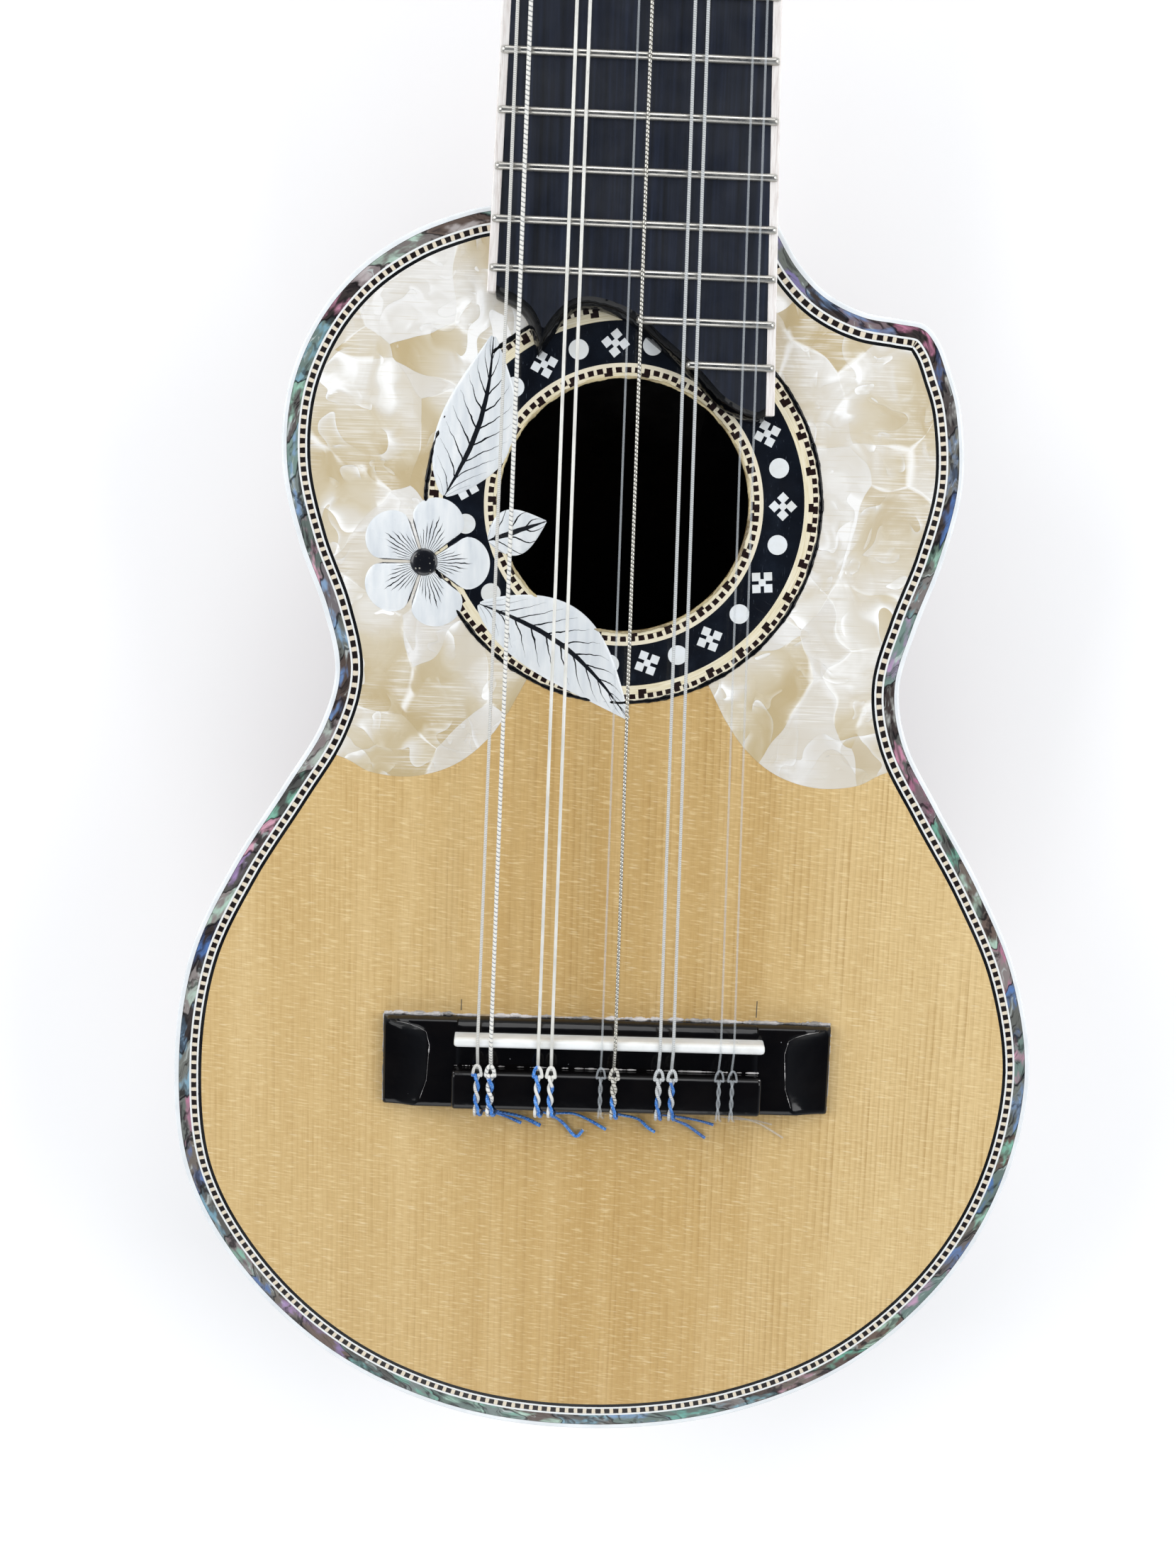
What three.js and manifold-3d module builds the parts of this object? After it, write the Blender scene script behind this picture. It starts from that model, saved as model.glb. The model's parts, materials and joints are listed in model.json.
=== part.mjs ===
// A ten-string charango lying on its back: soundboard up, head towards +Y, origin under its middle.
import Module from "manifold-3d";
import * as THREE from "three";
import { mergeVertices } from "three/addons/utils/BufferGeometryUtils.js";

const wasm = await Module();
wasm.setup();

// Fits
const seatGap = 0.3;
const runningGap = 0.35;
const overrun = 5;

// Scale: the saddle line is y = 0 and the top of the soundboard is z = 0
const scaleLength = 370;
const fretsPerOctave = 12;
const jointPastOctave = 3.5;

// Body
const bodyHalfWidth = 102.5;
const bodyLength = 291.5;
const bodyDepth = 82;
const bowlFloor = 5;
const bowlCentreShare = 0.336;
const bowlRoundness = 2.2;
const bowlLevels = 7;
const bowlCavityLevels = 5;
const bowlFlatShare = 0.45;
const bowlOvalShare = 0.93;
const outlineSteps = 63;

// Outline of the top, across as a share of the half width and along as a share of the body length
const lowerBoutShares = [
  [0, 0],
  [0.327, 0.0175],
  [0.608, 0.0631],
  [0.822, 0.1376],
  [0.958, 0.2223],
  [1, 0.3208],
  [0.96, 0.41],
  [0.859, 0.4803],
  [0.741, 0.5472],
  [0.66, 0.5986],
  [0.638, 0.6415],
  [0.665, 0.6878],
  [0.719, 0.741],
  [0.753, 0.801],
  [0.743, 0.861],
];
const roundShoulderShares = [
  [0.689, 0.9118],
  [0.595, 0.9496],
  [0.478, 0.9784],
  [0.351, 0.9952],
  [0.302, 1],
];
const hornShoulderShares = [
  [0.714, 0.8885],
  [0.678, 0.9091],
  [0.642, 0.9204],
  [0.585, 0.9235],
  [0.507, 0.9283],
  [0.424, 0.942],
  [0.361, 0.9616],
  [0.318, 0.9852],
  [0.302, 1],
];

// Soundboard and what is inlaid in it
const soundboardThickness = 2.5;
const inlayDepth = 1.5;
const bindingWidth = 1;
const abaloneWidth = 2.2;
const purflingWidth = 2.4;
const holeFromJointShare = 0.222;
const holeRadius = 28.5;
const rosetteRadius = 45;
const ringSteps = 36;

// Lobed lower edge of the pearl plates, from the body's side to the rosette
const lobeShares = [
  [1, 1],
  [0.63, 0.97],
  [0.55, 1.03],
  [0.45, 1.04],
  [0.35, 0.98],
  [0.26, 0.83],
  [0.204, 0.64],
];
const lobeReach = 61;

// Flower spray inlaid on the left of the sound hole
const sprayThickness = 0.5;
const flowerRadius = 15;
const flowerPetals = 5;
const flowerFromCentre = 45;
const flowerBehindHole = 14;
const upperLeafShare = 0.587;
const lowerLeafLength = 44;
const upperLeafAngle = THREE.MathUtils.degToRad(74);
const lowerLeafAngle = THREE.MathUtils.degToRad(-36);
const budAngle = THREE.MathUtils.degToRad(20);
const leafBroadening = 0.8;
const leafHalfWidth = 8.5;
const budLength = 14;
const budHalfWidth = 5;
const leafSteps = 9;

// Braces under the soundboard
const barShare = 0.85;
const barWidth = 6;
const barDepth = 9;
const barFromHole = 8;
const fanShare = 0.62;
const fanWidth = 5;
const fanDepth = 6;
const fanSpread = 30;
const fanCount = 3;
const braceEndShare = 0.16;

// Fingerboard and frets
const boardThickness = 5;
const boardWidthAtNut = 51.4;
const boardWidthAtJoint = 62.8;
const boardEndFromHole = 19.2;
const sideStripWidth = 2;
const sideStripLift = 0.2;
const fretWidth = 2;
const fretHeight = 1.05;
const fretCrownShare = 0.45;
const lastFretFromEnd = 12;
const boardEndShares = [
  [-1, 0.37],
  [-0.73, 0.48],
  [-0.62, 0.69],
  [-0.36, 0.445],
  [-0.06, 0.48],
  [0.17, 0.61],
  [0.42, 0.77],
  [0.63, 0.925],
  [0.88, 1],
  [1, 0.96],
];

// Neck and heel
const neckDepthAtNut = 15;
const neckDepthAtBody = 18.4;
const heelDepth = 46;
const heelBuriedLength = 38;
const heelLength = 42;
const neckRoundness = 2.3;
const neckSectionSteps = 9;
const heelShares = [
  [0, 1],
  [0.22, 0.72],
  [0.48, 0.3],
  [0.75, 0.07],
  [1, 0],
];

// Nut, saddle and bridge
const nutThickness = 5;
const nutSlotFloor = 6.3;
const nutLip = 1;
const saddleLength = 72.7;
const saddleThickness = 3.2;
const saddleTop = 8.9;
const saddleSlotDepth = 2;
const bridgeHalfLength = 52.5;
const bridgeFront = 4;
const bridgeBack = 17.5;
const bridgeHeight = 4;
const bridgeTipHeight = 2.4;
const bridgeWingShare = 0.74;
const tieBlockHalfLength = 36.5;
const tieBlockFront = 7.3;
const tieBlockBack = 16.8;
const tieBlockTop = 8;
const tieHoleHeight = 5.2;

// Strings, from the left: five pairs
const stringRadii = [0.4, 0.48, 0.4, 0.4, 0.28, 0.4, 0.38, 0.38, 0.28, 0.28];
const stringsPerPair = 2;
const pairSpacingAtSaddle = 14.2;
const pairSpacingAtNut = 11.6;
const pairWidthAtSaddle = 3.1;
const pairWidthAtNut = 2.6;
const middlePairDrift = 0.6;
const stringSides = 5;
const windingTurns = 2;
const windingSteps = 10;
const windingPlace = 13.5;
const leastSelfGap = 0.45;
const tieTwists = 1;
const tieSteps = 6;
const tieBend = 1.1;
const tailDrop = 3;
const tailLength = 7.5;
const tailSide = 13;

// Headstock
const headTilt = THREE.MathUtils.degToRad(12);
const headHalfWidth = 31;
const headThickness = 18.5;
const veneerThickness = 1.5;
const firstPost = 34;
const postPitch = 25;
const postsPerSide = 5;
const slotRunIn = 20;
const slotRunOut = 14;
const headTipLength = 18;
const slotInner = 5.5;
const slotOuter = 21;
const slotCornerSteps = 5;
const headShares = [
  [0.835, 0],
  [0.88, 0.03],
  [1, 0.1],
  [1, 0.9],
  [0.86, 0.945],
  [0.5, 0.96],
  [0.27, 0.98],
  [0, 1],
];

// Tuners
const plateThickness = 1.2;
const plateHeight = 12;
const plateMargin = 6;
const rollerRadius = 3;
const rollerSides = 10;
const boreSides = 8;
const pinSides = 6;
const pinRadius = 1.8;
const pinLength = 3;
const wheelTeeth = 14;
const wheelTipRadius = 6.1;
const wheelRootRadius = 4.9;
const wheelThickness = 2.4;
const wormOffset = 7.8;
const wormCoreRadius = 1.2;
const wormRadius = 2.2;
const wormPitch = 2.513;
const wormTurns = 2;
const wormSteps = 7;
const threadRootHalfWidth = 0.5;
const threadTipHalfWidth = 0.25;
const wormHalfLength = 3.8;
const lugThickness = 1.8;
const lugWidth = 5;
const lugWall = 1.4;
const shaftBelowLug = 5;
const buttonRadius = 6;
const buttonLength = 13;
const buttonFlatShare = 0.62;
const buttonSides = 8;
const buttonShares = [
  [0, 0],
  [0.45, 0],
  [1, 0.45],
  [0.9, 0.8],
  [0.45, 1],
  [0, 1],
];

// Places that follow from the sizes
const halfOctave = scaleLength / 2;
const jointY = halfOctave + jointPastOctave;
const saddleToTail = bodyLength - jointY;
const bowlCentreY = bowlCentreShare * bodyLength - saddleToTail;
const holeFromJoint = holeFromJointShare * bodyLength;
const holeFromSaddle = jointY - holeFromJoint;
const boardLow = holeFromSaddle + boardEndFromHole;
const boardOverhang = halfOctave - boardLow;
const fretCount = Math.floor(fretsPerOctave * Math.log2(scaleLength / (boardLow + lastFretFromEnd)));
const neckStart = jointY + seatGap;
const nutBack = scaleLength + nutThickness;
const bandStarts = [0, bindingWidth + seatGap, bindingWidth + abaloneWidth + 2 * seatGap];
const fieldInset = bindingWidth + abaloneWidth + purflingWidth + 3 * seatGap;
const stringCount = stringRadii.length;
const pairCount = stringCount / stringsPerPair;
const lastPost = firstPost + (postsPerSide - 1) * postPitch;
const slotStart = firstPost - slotRunIn;
const slotEnd = lastPost + slotRunOut;
const headLength = slotEnd + headTipLength;
const rollerHeight = -headThickness / 2;
const plateFace = headHalfWidth + plateThickness;
const wheelInner = plateFace + seatGap + wormRadius - wheelThickness / 2;
const wormAcross = wheelInner + wheelThickness / 2;
const lugStart = wormHalfLength + runningGap;
const shaftTop = lugStart + lugThickness + runningGap;
const buttonTop = headThickness / 2 + runningGap + shaftBelowLug - lugThickness;

// Frame of the turned head, whose face starts behind the nut
const head = new THREE.Group();
head.position.set(0, nutBack + seatGap, 0);
head.rotation.x = -headTilt;
head.updateMatrix();

// Solids: joining, cutting and the simple sweeps
function toManifold(geometry) {
  const bare = geometry.clone();
  bare.deleteAttribute("normal");
  bare.deleteAttribute("uv");
  const merged = mergeVertices(bare);
  return new wasm.Manifold(new wasm.Mesh({
    numProp: 3,
    vertProperties: new Float32Array(merged.attributes.position.array),
    triVerts: new Uint32Array(merged.index.array),
  }));
}

function toGeometry(solid) {
  const mesh = solid.getMesh();
  const geometry = new THREE.BufferGeometry();
  geometry.setAttribute("position", new THREE.BufferAttribute(new Float32Array(mesh.vertProperties), 3));
  geometry.setIndex([...mesh.triVerts]);
  return geometry;
}

function join(geometries) {
  return toGeometry(geometries.map(toManifold).reduce((whole, piece) => whole.add(piece)));
}

function cut(geometry, tools) {
  return toGeometry(tools.map(toManifold).reduce((rest, tool) => rest.subtract(tool), toManifold(geometry)));
}

function common(first, second) {
  return toGeometry(toManifold(first).intersect(toManifold(second)));
}

function signedVolume(positions, index) {
  const [a, b, c] = [new THREE.Vector3(), new THREE.Vector3(), new THREE.Vector3()];
  let volume = 0;
  for (let i = 0; i < index.length; i += 3) {
    a.fromArray(positions, 3 * index[i]);
    b.fromArray(positions, 3 * index[i + 1]);
    c.fromArray(positions, 3 * index[i + 2]);
    volume += a.dot(b.cross(c));
  }
  return volume;
}

// Closed skin over rings of equally many points, with a fan at each end
function loft(rings, startCentre = average(rings[0]), endCentre = average(rings.at(-1))) {
  const sides = rings[0].length;
  const positions = [...rings.flat(), startCentre, endCentre].flatMap((point) => point.toArray());
  const startHub = rings.length * sides;
  const index = [];
  for (let side = 0; side < sides; side += 1) {
    const next = (side + 1) % sides;
    const last = (rings.length - 1) * sides;
    index.push(startHub, next, side);
    index.push(startHub + 1, last + side, last + next);
    for (let ring = 0; ring < rings.length - 1; ring += 1) {
      const low = ring * sides;
      const high = low + sides;
      index.push(low + side, low + next, high + next);
      index.push(low + side, high + next, high + side);
    }
  }
  const geometry = new THREE.BufferGeometry();
  geometry.setAttribute("position", new THREE.Float32BufferAttribute(positions, 3));
  geometry.setIndex(signedVolume(positions, index) < 0 ? index.reverse() : index);
  return geometry;
}

function average(points) {
  const sum = points.reduce((total, point) => total.add(point), new THREE.Vector3());
  return sum.divideScalar(points.length);
}

// Flat outline between two heights, with its holes
function slab(outline, bottom, top, holes = []) {
  const shape = new THREE.Shape(outline);
  shape.holes = holes.map((hole) => new THREE.Path(hole));
  const geometry = new THREE.ExtrudeGeometry(shape, { depth: top - bottom, bevelEnabled: false });
  return geometry.translate(0, 0, bottom);
}

// Side profile of (along, up) points, extruded across from one x to another
function acrossSlab(profile, start, end) {
  const turn = new THREE.Matrix4().makeBasis(
    new THREE.Vector3(0, 1, 0),
    new THREE.Vector3(0, 0, 1),
    new THREE.Vector3(1, 0, 0),
  );
  return slab(profile, Math.min(start, end), Math.max(start, end)).applyMatrix4(turn);
}

// End profile of (across, up) points, extruded along from one y to another
function alongSlab(profile, start, end) {
  const turn = new THREE.Matrix4().makeBasis(
    new THREE.Vector3(1, 0, 0),
    new THREE.Vector3(0, 0, 1),
    new THREE.Vector3(0, -1, 0),
  );
  return slab(profile, -end, -start).applyMatrix4(turn);
}

function block(x, y, z) {
  const geometry = new THREE.BoxGeometry(x[1] - x[0], y[1] - y[0], z[1] - z[0]);
  return geometry.translate((x[0] + x[1]) / 2, (y[0] + y[1]) / 2, (z[0] + z[1]) / 2);
}

function rectangle(x, y) {
  return [[x[0], y[0]], [x[1], y[0]], [x[1], y[1]], [x[0], y[1]]].map(([u, v]) => new THREE.Vector2(u, v));
}

function circle(x, y, radius, steps) {
  return Array.from({ length: steps }, (_, i) => {
    const angle = (2 * Math.PI * i) / steps;
    return new THREE.Vector2(x + radius * Math.cos(angle), y + radius * Math.sin(angle));
  });
}

function rodAcross(radius, start, end, sides, y = 0, z = 0) {
  return acrossSlab(circle(y, z, radius, sides), start, end);
}

// Radius at the corners of a bore whose flats clear a shaft
function boreRadius(shaftRadius, sides) {
  return (shaftRadius + runningGap) / Math.cos(Math.PI / sides);
}

// Round tube through points, its rings carried along without twist
function tube(points, radius, sides) {
  const side = new THREE.Vector3(1, 0, 0);
  const rings = points.map((point, i) => {
    const ahead = points[Math.min(i + 1, points.length - 1)].clone();
    const direction = ahead.sub(points[Math.max(i - 1, 0)]).normalize();
    side.addScaledVector(direction, -side.dot(direction)).normalize();
    const up = new THREE.Vector3().crossVectors(direction, side);
    return circle(0, 0, radius, sides).map((spot) => (
      point.clone().addScaledVector(side, spot.x).addScaledVector(up, spot.y)
    ));
  });
  return loft(rings, points[0].clone(), points.at(-1).clone());
}

// Smooth open curve through flat points
function smooth(points, steps) {
  const controls = points.map((point) => new THREE.Vector3(point.x, point.y, 0));
  const curve = new THREE.CatmullRomCurve3(controls, false, "centripetal");
  return curve.getPoints(steps).map((point) => new THREE.Vector2(point.x, point.y));
}

// Outline moved inwards, or outwards by a negative distance, without the loops that sharp corners give
function inset(outline, distance) {
  const normals = outline.map((point, i) => {
    const edge = outline[(i + 1) % outline.length].clone().sub(point).normalize();
    return new THREE.Vector2(-edge.y, edge.x);
  });
  const moved = outline.map((point, i) => {
    const before = normals.at(i - 1);
    const mitre = before.clone().add(normals[i]).divideScalar(1 + before.dot(normals[i]));
    return point.clone().addScaledVector(mitre, distance);
  });
  const keptShare = 0.98;
  return moved.filter((point) => distanceTo(outline, point) > keptShare * Math.abs(distance));
}

function distanceTo(outline, point) {
  const line = new THREE.Line3();
  const spot = new THREE.Vector3(point.x, point.y, 0);
  const nearest = new THREE.Vector3();
  return Math.min(...outline.map((corner, i) => {
    const next = outline[(i + 1) % outline.length];
    line.start.set(corner.x, corner.y, 0);
    line.end.set(next.x, next.y, 0);
    return line.closestPointToPoint(spot, true, nearest).distanceTo(spot);
  }));
}

function mirrored(points) {
  return points.map((point) => new THREE.Vector2(-point.x, point.y));
}

// Outline of the top, anticlockwise from the left of the neck to its right
function bodyOutline() {
  const place = ([across, along]) => new THREE.Vector2(
    across * bodyHalfWidth,
    along * bodyLength - saddleToTail,
  );
  const left = mirrored([...lowerBoutShares, ...roundShoulderShares].map(place)).reverse();
  const right = [...lowerBoutShares.slice(1), ...hornShoulderShares].map(place);
  return smooth([...left, ...right], outlineSteps);
}

const topOutline = bodyOutline();
const fieldOutline = inset(topOutline, fieldInset);

// Bowl form: the outline shrinks on its way down and turns into an oval with a flat bottom
function bowlForm(outline, top, bottom, levels) {
  const neckwards = (jointY - bowlCentreY) * bowlOvalShare;
  const tailwards = (saddleToTail + bowlCentreY) * bowlOvalShare;
  const halfWidth = bodyHalfWidth * bowlOvalShare;
  const centre = new THREE.Vector2(0, bowlCentreY);
  const ringAt = (share, height) => {
    const rise = Math.pow(1 - Math.pow(share, bowlRoundness), 1 / bowlRoundness);
    const scale = bowlFlatShare + (1 - bowlFlatShare) * rise;
    return outline.map((point) => {
      const arm = point.clone().sub(centre);
      const reach = arm.length();
      arm.normalize();
      const length = arm.y > 0 ? neckwards : tailwards;
      const oval = 1 / Math.hypot(arm.x / halfWidth, arm.y / length);
      const radius = THREE.MathUtils.lerp(reach, Math.min(oval, reach), share * share) * scale;
      return new THREE.Vector3(centre.x + arm.x * radius, centre.y + arm.y * radius, height);
    });
  };
  const rings = [ringAt(0, overrun)];
  for (let level = 0; level <= levels; level += 1) {
    const share = Math.sin((Math.PI / 2) * (level / levels));
    rings.push(ringAt(share, top - share * (top - bottom)));
  }
  const hub = (height) => new THREE.Vector3(centre.x, centre.y, height);
  return loft(rings, hub(overrun), hub(bottom));
}

function bowlBack() {
  const outer = bowlForm(topOutline, -soundboardThickness, -bodyDepth, bowlLevels);
  const cavity = bowlForm(
    fieldOutline,
    -soundboardThickness,
    bowlFloor - bodyDepth,
    bowlCavityLevels,
  );
  const above = block(
    [-2 * bodyHalfWidth, 2 * bodyHalfWidth],
    [-2 * bodyLength, 2 * bodyLength],
    [-soundboardThickness, 2 * overrun],
  );
  return cut(outer, [above, cavity]);
}

// Soundboard with its ledge for the edge bands and its pockets for the rosette and pearl plates
function pearlOutline(growth) {
  const edge = smooth(
    lobeShares.map(([across, reach]) => new THREE.Vector2(
      across * bodyHalfWidth,
      holeFromSaddle - reach * lobeReach - growth,
    )),
    3 * lobeShares.length,
  );
  const wall = new THREE.Vector2(bodyHalfWidth, 2 * bodyLength);
  const corners = [
    wall,
    new THREE.Vector2(0, wall.y),
    new THREE.Vector2(0, holeFromSaddle),
    new THREE.Vector2(lobeShares.at(-1)[0] * bodyHalfWidth - growth, holeFromSaddle),
  ];
  return [...edge.reverse(), ...corners];
}

function fieldPlate(bottom, top) {
  return slab(fieldOutline, bottom, top);
}

function soundboard() {
  const field = fieldPlate(-soundboardThickness, 0);
  const ledge = slab(inset(topOutline, bindingWidth + seatGap), -soundboardThickness, -inlayDepth);
  const pearlPocket = pearlOutline(seatGap);
  const pockets = [
    slab(circle(0, holeFromSaddle, rosetteRadius + seatGap, ringSteps), -inlayDepth, overrun),
    slab(pearlPocket, -inlayDepth, overrun),
    slab(mirrored(pearlPocket).reverse(), -inlayDepth, overrun),
  ];
  const hole = slab(circle(0, holeFromSaddle, holeRadius, ringSteps), -2 * overrun, overrun);
  return cut(join([cut(field, pockets), ledge]), [hole]);
}

function edgeBand(start, width, bottom) {
  const outer = start > 0 ? inset(topOutline, start) : topOutline;
  return slab(outer, bottom, 0, [inset(topOutline, start + width).reverse()]);
}

function rosette() {
  const hole = circle(0, holeFromSaddle, holeRadius, ringSteps).reverse();
  return slab(circle(0, holeFromSaddle, rosetteRadius, ringSteps), -inlayDepth, 0, [hole]);
}

function pearlPlate(side) {
  const lobes = pearlOutline(0);
  const region = slab(side > 0 ? lobes : mirrored(lobes).reverse(), -inlayDepth, 0);
  const middle = block(
    [-seatGap / 2, seatGap / 2],
    [0, 2 * bodyLength],
    [-overrun, overrun],
  );
  const disc = slab(
    circle(0, holeFromSaddle, rosetteRadius + seatGap, ringSteps),
    -overrun,
    overrun,
  );
  return cut(common(fieldPlate(-inlayDepth, 0), region), [disc, middle]);
}

// Flower spray
function flower() {
  const steps = 8 * flowerPetals;
  const deepShare = 0.62;
  const outline = Array.from({ length: steps }, (_, i) => {
    const angle = (2 * Math.PI * i) / steps;
    const swell = Math.sqrt(Math.abs(Math.cos((flowerPetals * angle) / 2)));
    const radius = flowerRadius * (deepShare + (1 - deepShare) * swell);
    return new THREE.Vector2(
      radius * Math.cos(angle) - flowerFromCentre,
      radius * Math.sin(angle) + holeFromSaddle - flowerBehindHole,
    );
  });
  return slab(outline, 0, sprayThickness);
}

// Pointed leaf from its foot towards an angle, bent to one side
function leaf(footX, footY, angle, length, halfWidth, bend) {
  const edge = (side) => Array.from({ length: leafSteps + 1 }, (_, i) => {
    const share = i / leafSteps;
    const width = halfWidth * Math.sin(Math.PI * Math.pow(share, leafBroadening)) + seatGap;
    return new THREE.Vector2(share * length, side * width + bend * Math.sin(Math.PI * share));
  });
  const outline = [...edge(-1), ...edge(1).reverse()];
  const placed = outline.map((point) => (
    point.rotateAround(new THREE.Vector2(), angle).add(new THREE.Vector2(footX, footY))
  ));
  return slab(placed, 0, sprayThickness);
}

function sprayFoot(angle) {
  const reach = flowerRadius + seatGap;
  return [
    reach * Math.cos(angle) - flowerFromCentre,
    reach * Math.sin(angle) + holeFromSaddle - flowerBehindHole,
    angle,
  ];
}

// Brace with sloping ends, glued under the soundboard
function bar(x, y, width, length, depth, turn) {
  const slope = braceEndShare * length;
  const profile = [
    new THREE.Vector2(-length / 2, -depth / 3),
    new THREE.Vector2(slope - length / 2, -depth),
    new THREE.Vector2(length / 2 - slope, -depth),
    new THREE.Vector2(length / 2, -depth / 3),
    new THREE.Vector2(length / 2, 0),
    new THREE.Vector2(-length / 2, 0),
  ];
  return acrossSlab(profile, -width / 2, width / 2).rotateZ(turn).translate(x, y, -soundboardThickness);
}

// Distance from the middle to the nearer edge of the field
function fieldHalfWidth(y) {
  const widths = fieldOutline.flatMap((point, i) => {
    const next = fieldOutline[(i + 1) % fieldOutline.length];
    const share = (y - point.y) / (next.y - point.y);
    return share > 0 && share < 1 ? [Math.abs(THREE.MathUtils.lerp(point.x, next.x, share))] : [];
  });
  return Math.min(...widths);
}

// Bar across the body, as long as its narrower edge allows
function crossBar(y) {
  const widths = [fieldHalfWidth(y - barWidth / 2), fieldHalfWidth(y + barWidth / 2)];
  const length = 2 * barShare * Math.min(...widths);
  return bar(0, y, barWidth, length, barDepth, Math.PI / 2);
}

// Fingerboard
function boardHalfWidth(y) {
  const share = (y - halfOctave) / halfOctave;
  return THREE.MathUtils.lerp(boardWidthAtJoint, boardWidthAtNut, share) / 2;
}

function boardEndCurve() {
  const width = boardHalfWidth(halfOctave - boardOverhang);
  const points = boardEndShares.map(([across, reach]) => new THREE.Vector2(
    across * width,
    halfOctave - reach * boardOverhang,
  ));
  const cusp = 2;
  const left = smooth(points.slice(0, cusp + 1), 2 * cusp);
  const right = smooth(points.slice(cusp), 2 * (points.length - cusp));
  return [...left, ...right.slice(1)];
}

const boardEnd = boardEndCurve();

function boardEndAt(x) {
  const next = boardEnd.findIndex((point) => point.x >= x);
  if (next < 1) {
    return boardEnd.at(next).y;
  }
  const [a, b] = [boardEnd[next - 1], boardEnd[next]];
  return THREE.MathUtils.lerp(a.y, b.y, (x - a.x) / (b.x - a.x));
}

function fingerboard() {
  const end = scaleLength - seatGap;
  const low = boardEnd[0].y;
  const inner = (y) => boardHalfWidth(y) - sideStripWidth - seatGap;
  const reach = (x) => Math.abs(x) < inner(low);
  const wave = boardEnd.filter((point) => reach(point.x));
  const outline = [
    new THREE.Vector2(-inner(low), boardEndAt(-inner(low))),
    ...wave,
    new THREE.Vector2(inner(boardEnd.at(-1).y), boardEndAt(inner(boardEnd.at(-1).y))),
    new THREE.Vector2(inner(end), end),
    new THREE.Vector2(-inner(end), end),
  ];
  return slab(outline, 0, boardThickness);
}

function fretPlace(fret) {
  return scaleLength * Math.pow(2, -fret / fretsPerOctave);
}

// Left end of a fret that the waved end cuts short
function fretStart(fret) {
  const y = fretPlace(fret) - fretWidth;
  const clear = boardEnd.findLastIndex((point) => point.y > y);
  const [a, b] = [boardEnd[clear], boardEnd[clear + 1]];
  return THREE.MathUtils.lerp(a.x, b.x, (a.y - y) / (a.y - b.y));
}

function fretBar(fret) {
  const y = fretPlace(fret);
  const half = fretWidth / 2;
  const profile = [[-1, 0], [1, 0], [fretCrownShare, 1], [-fretCrownShare, 1]].map(([along, up]) => (
    new THREE.Vector2(along * half + y, up * fretHeight + boardThickness)
  ));
  const width = boardHalfWidth(y);
  const isCut = y - fretWidth < boardEnd[0].y;
  return acrossSlab(profile, isCut ? fretStart(fret) : -width, width);
}

function sideStrip(side) {
  const end = scaleLength - seatGap;
  const start = side < 0 ? boardEnd[0].y : boardEnd.at(-1).y;
  const corner = (y, width) => new THREE.Vector2(side * (boardHalfWidth(y) - width), y);
  const outline = [
    corner(start, 0),
    corner(end, 0),
    corner(end, sideStripWidth),
    corner(start, sideStripWidth),
  ];
  return slab(side > 0 ? outline : outline.reverse(), 0, boardThickness + sideStripLift);
}

function frets() {
  const bars = Array.from({ length: fretCount }, (_, i) => fretBar(i + 1));
  return join([sideStrip(-1), sideStrip(1), ...bars]);
}

// Neck: half-round sections that swell into the heel, cut to hug the bowl
function neckSection(y, depth) {
  const width = boardHalfWidth(y);
  return Array.from({ length: neckSectionSteps + 1 }, (_, i) => {
    const angle = (Math.PI * i) / neckSectionSteps;
    const across = Math.sign(Math.cos(angle)) * Math.pow(Math.abs(Math.cos(angle)), 2 / neckRoundness);
    const down = Math.pow(Math.sin(angle), 2 / neckRoundness);
    return new THREE.Vector3(across * width, y, -down * depth);
  });
}

function neck() {
  const depthAt = (y) => THREE.MathUtils.mapLinear(y, neckStart, nutBack, neckDepthAtBody, neckDepthAtNut);
  const heel = heelShares.map(([along, swell]) => {
    const y = neckStart + along * heelLength;
    return neckSection(y, THREE.MathUtils.lerp(depthAt(y), heelDepth, swell));
  });
  const rings = [
    neckSection(neckStart - heelBuriedLength, heelDepth),
    ...heel,
    neckSection(nutBack, neckDepthAtNut),
  ];
  const wider = inset(topOutline, -seatGap);
  const grown = bowlForm(wider, -soundboardThickness, -bodyDepth - seatGap, bowlLevels);
  return cut(loft(rings), [grown]);
}

// Headstock with two slots, in the frame of the turned head
function headOutline() {
  const right = headShares.map(([across, along]) => new THREE.Vector2(
    across * headHalfWidth,
    along * headLength,
  ));
  return [...right, ...mirrored(right).reverse().slice(1)];
}

function slotOutline(side) {
  const radius = (slotOuter - slotInner) / 2;
  const middle = side * (slotOuter + slotInner) / 2;
  const arc = (y, start) => Array.from({ length: slotCornerSteps + 1 }, (_, i) => {
    const angle = start + (Math.PI * i) / slotCornerSteps;
    return new THREE.Vector2(middle + radius * Math.cos(angle), y + radius * Math.sin(angle));
  });
  return [...arc(slotEnd - radius, 0), ...arc(slotStart + radius, Math.PI)];
}

function postPlaces() {
  return Array.from({ length: postsPerSide }, (_, i) => firstPost + i * postPitch);
}

// Slotted board of the head between two depths, its front upright where it meets the neck
function headBoard(topDepth, bottomDepth) {
  const lean = Math.tan(headTilt);
  const side = [
    new THREE.Vector2(topDepth * lean, -topDepth),
    new THREE.Vector2(bottomDepth * lean, -bottomDepth),
    new THREE.Vector2(2 * headLength, -bottomDepth),
    new THREE.Vector2(2 * headLength, -topDepth),
  ];
  const blank = common(
    acrossSlab(side, -2 * headHalfWidth, 2 * headHalfWidth),
    slab(headOutline(), -2 * headThickness, headThickness),
  );
  return cut(blank, [-1, 1].map((hand) => slab(slotOutline(hand), -2 * headThickness, headThickness)));
}

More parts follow.
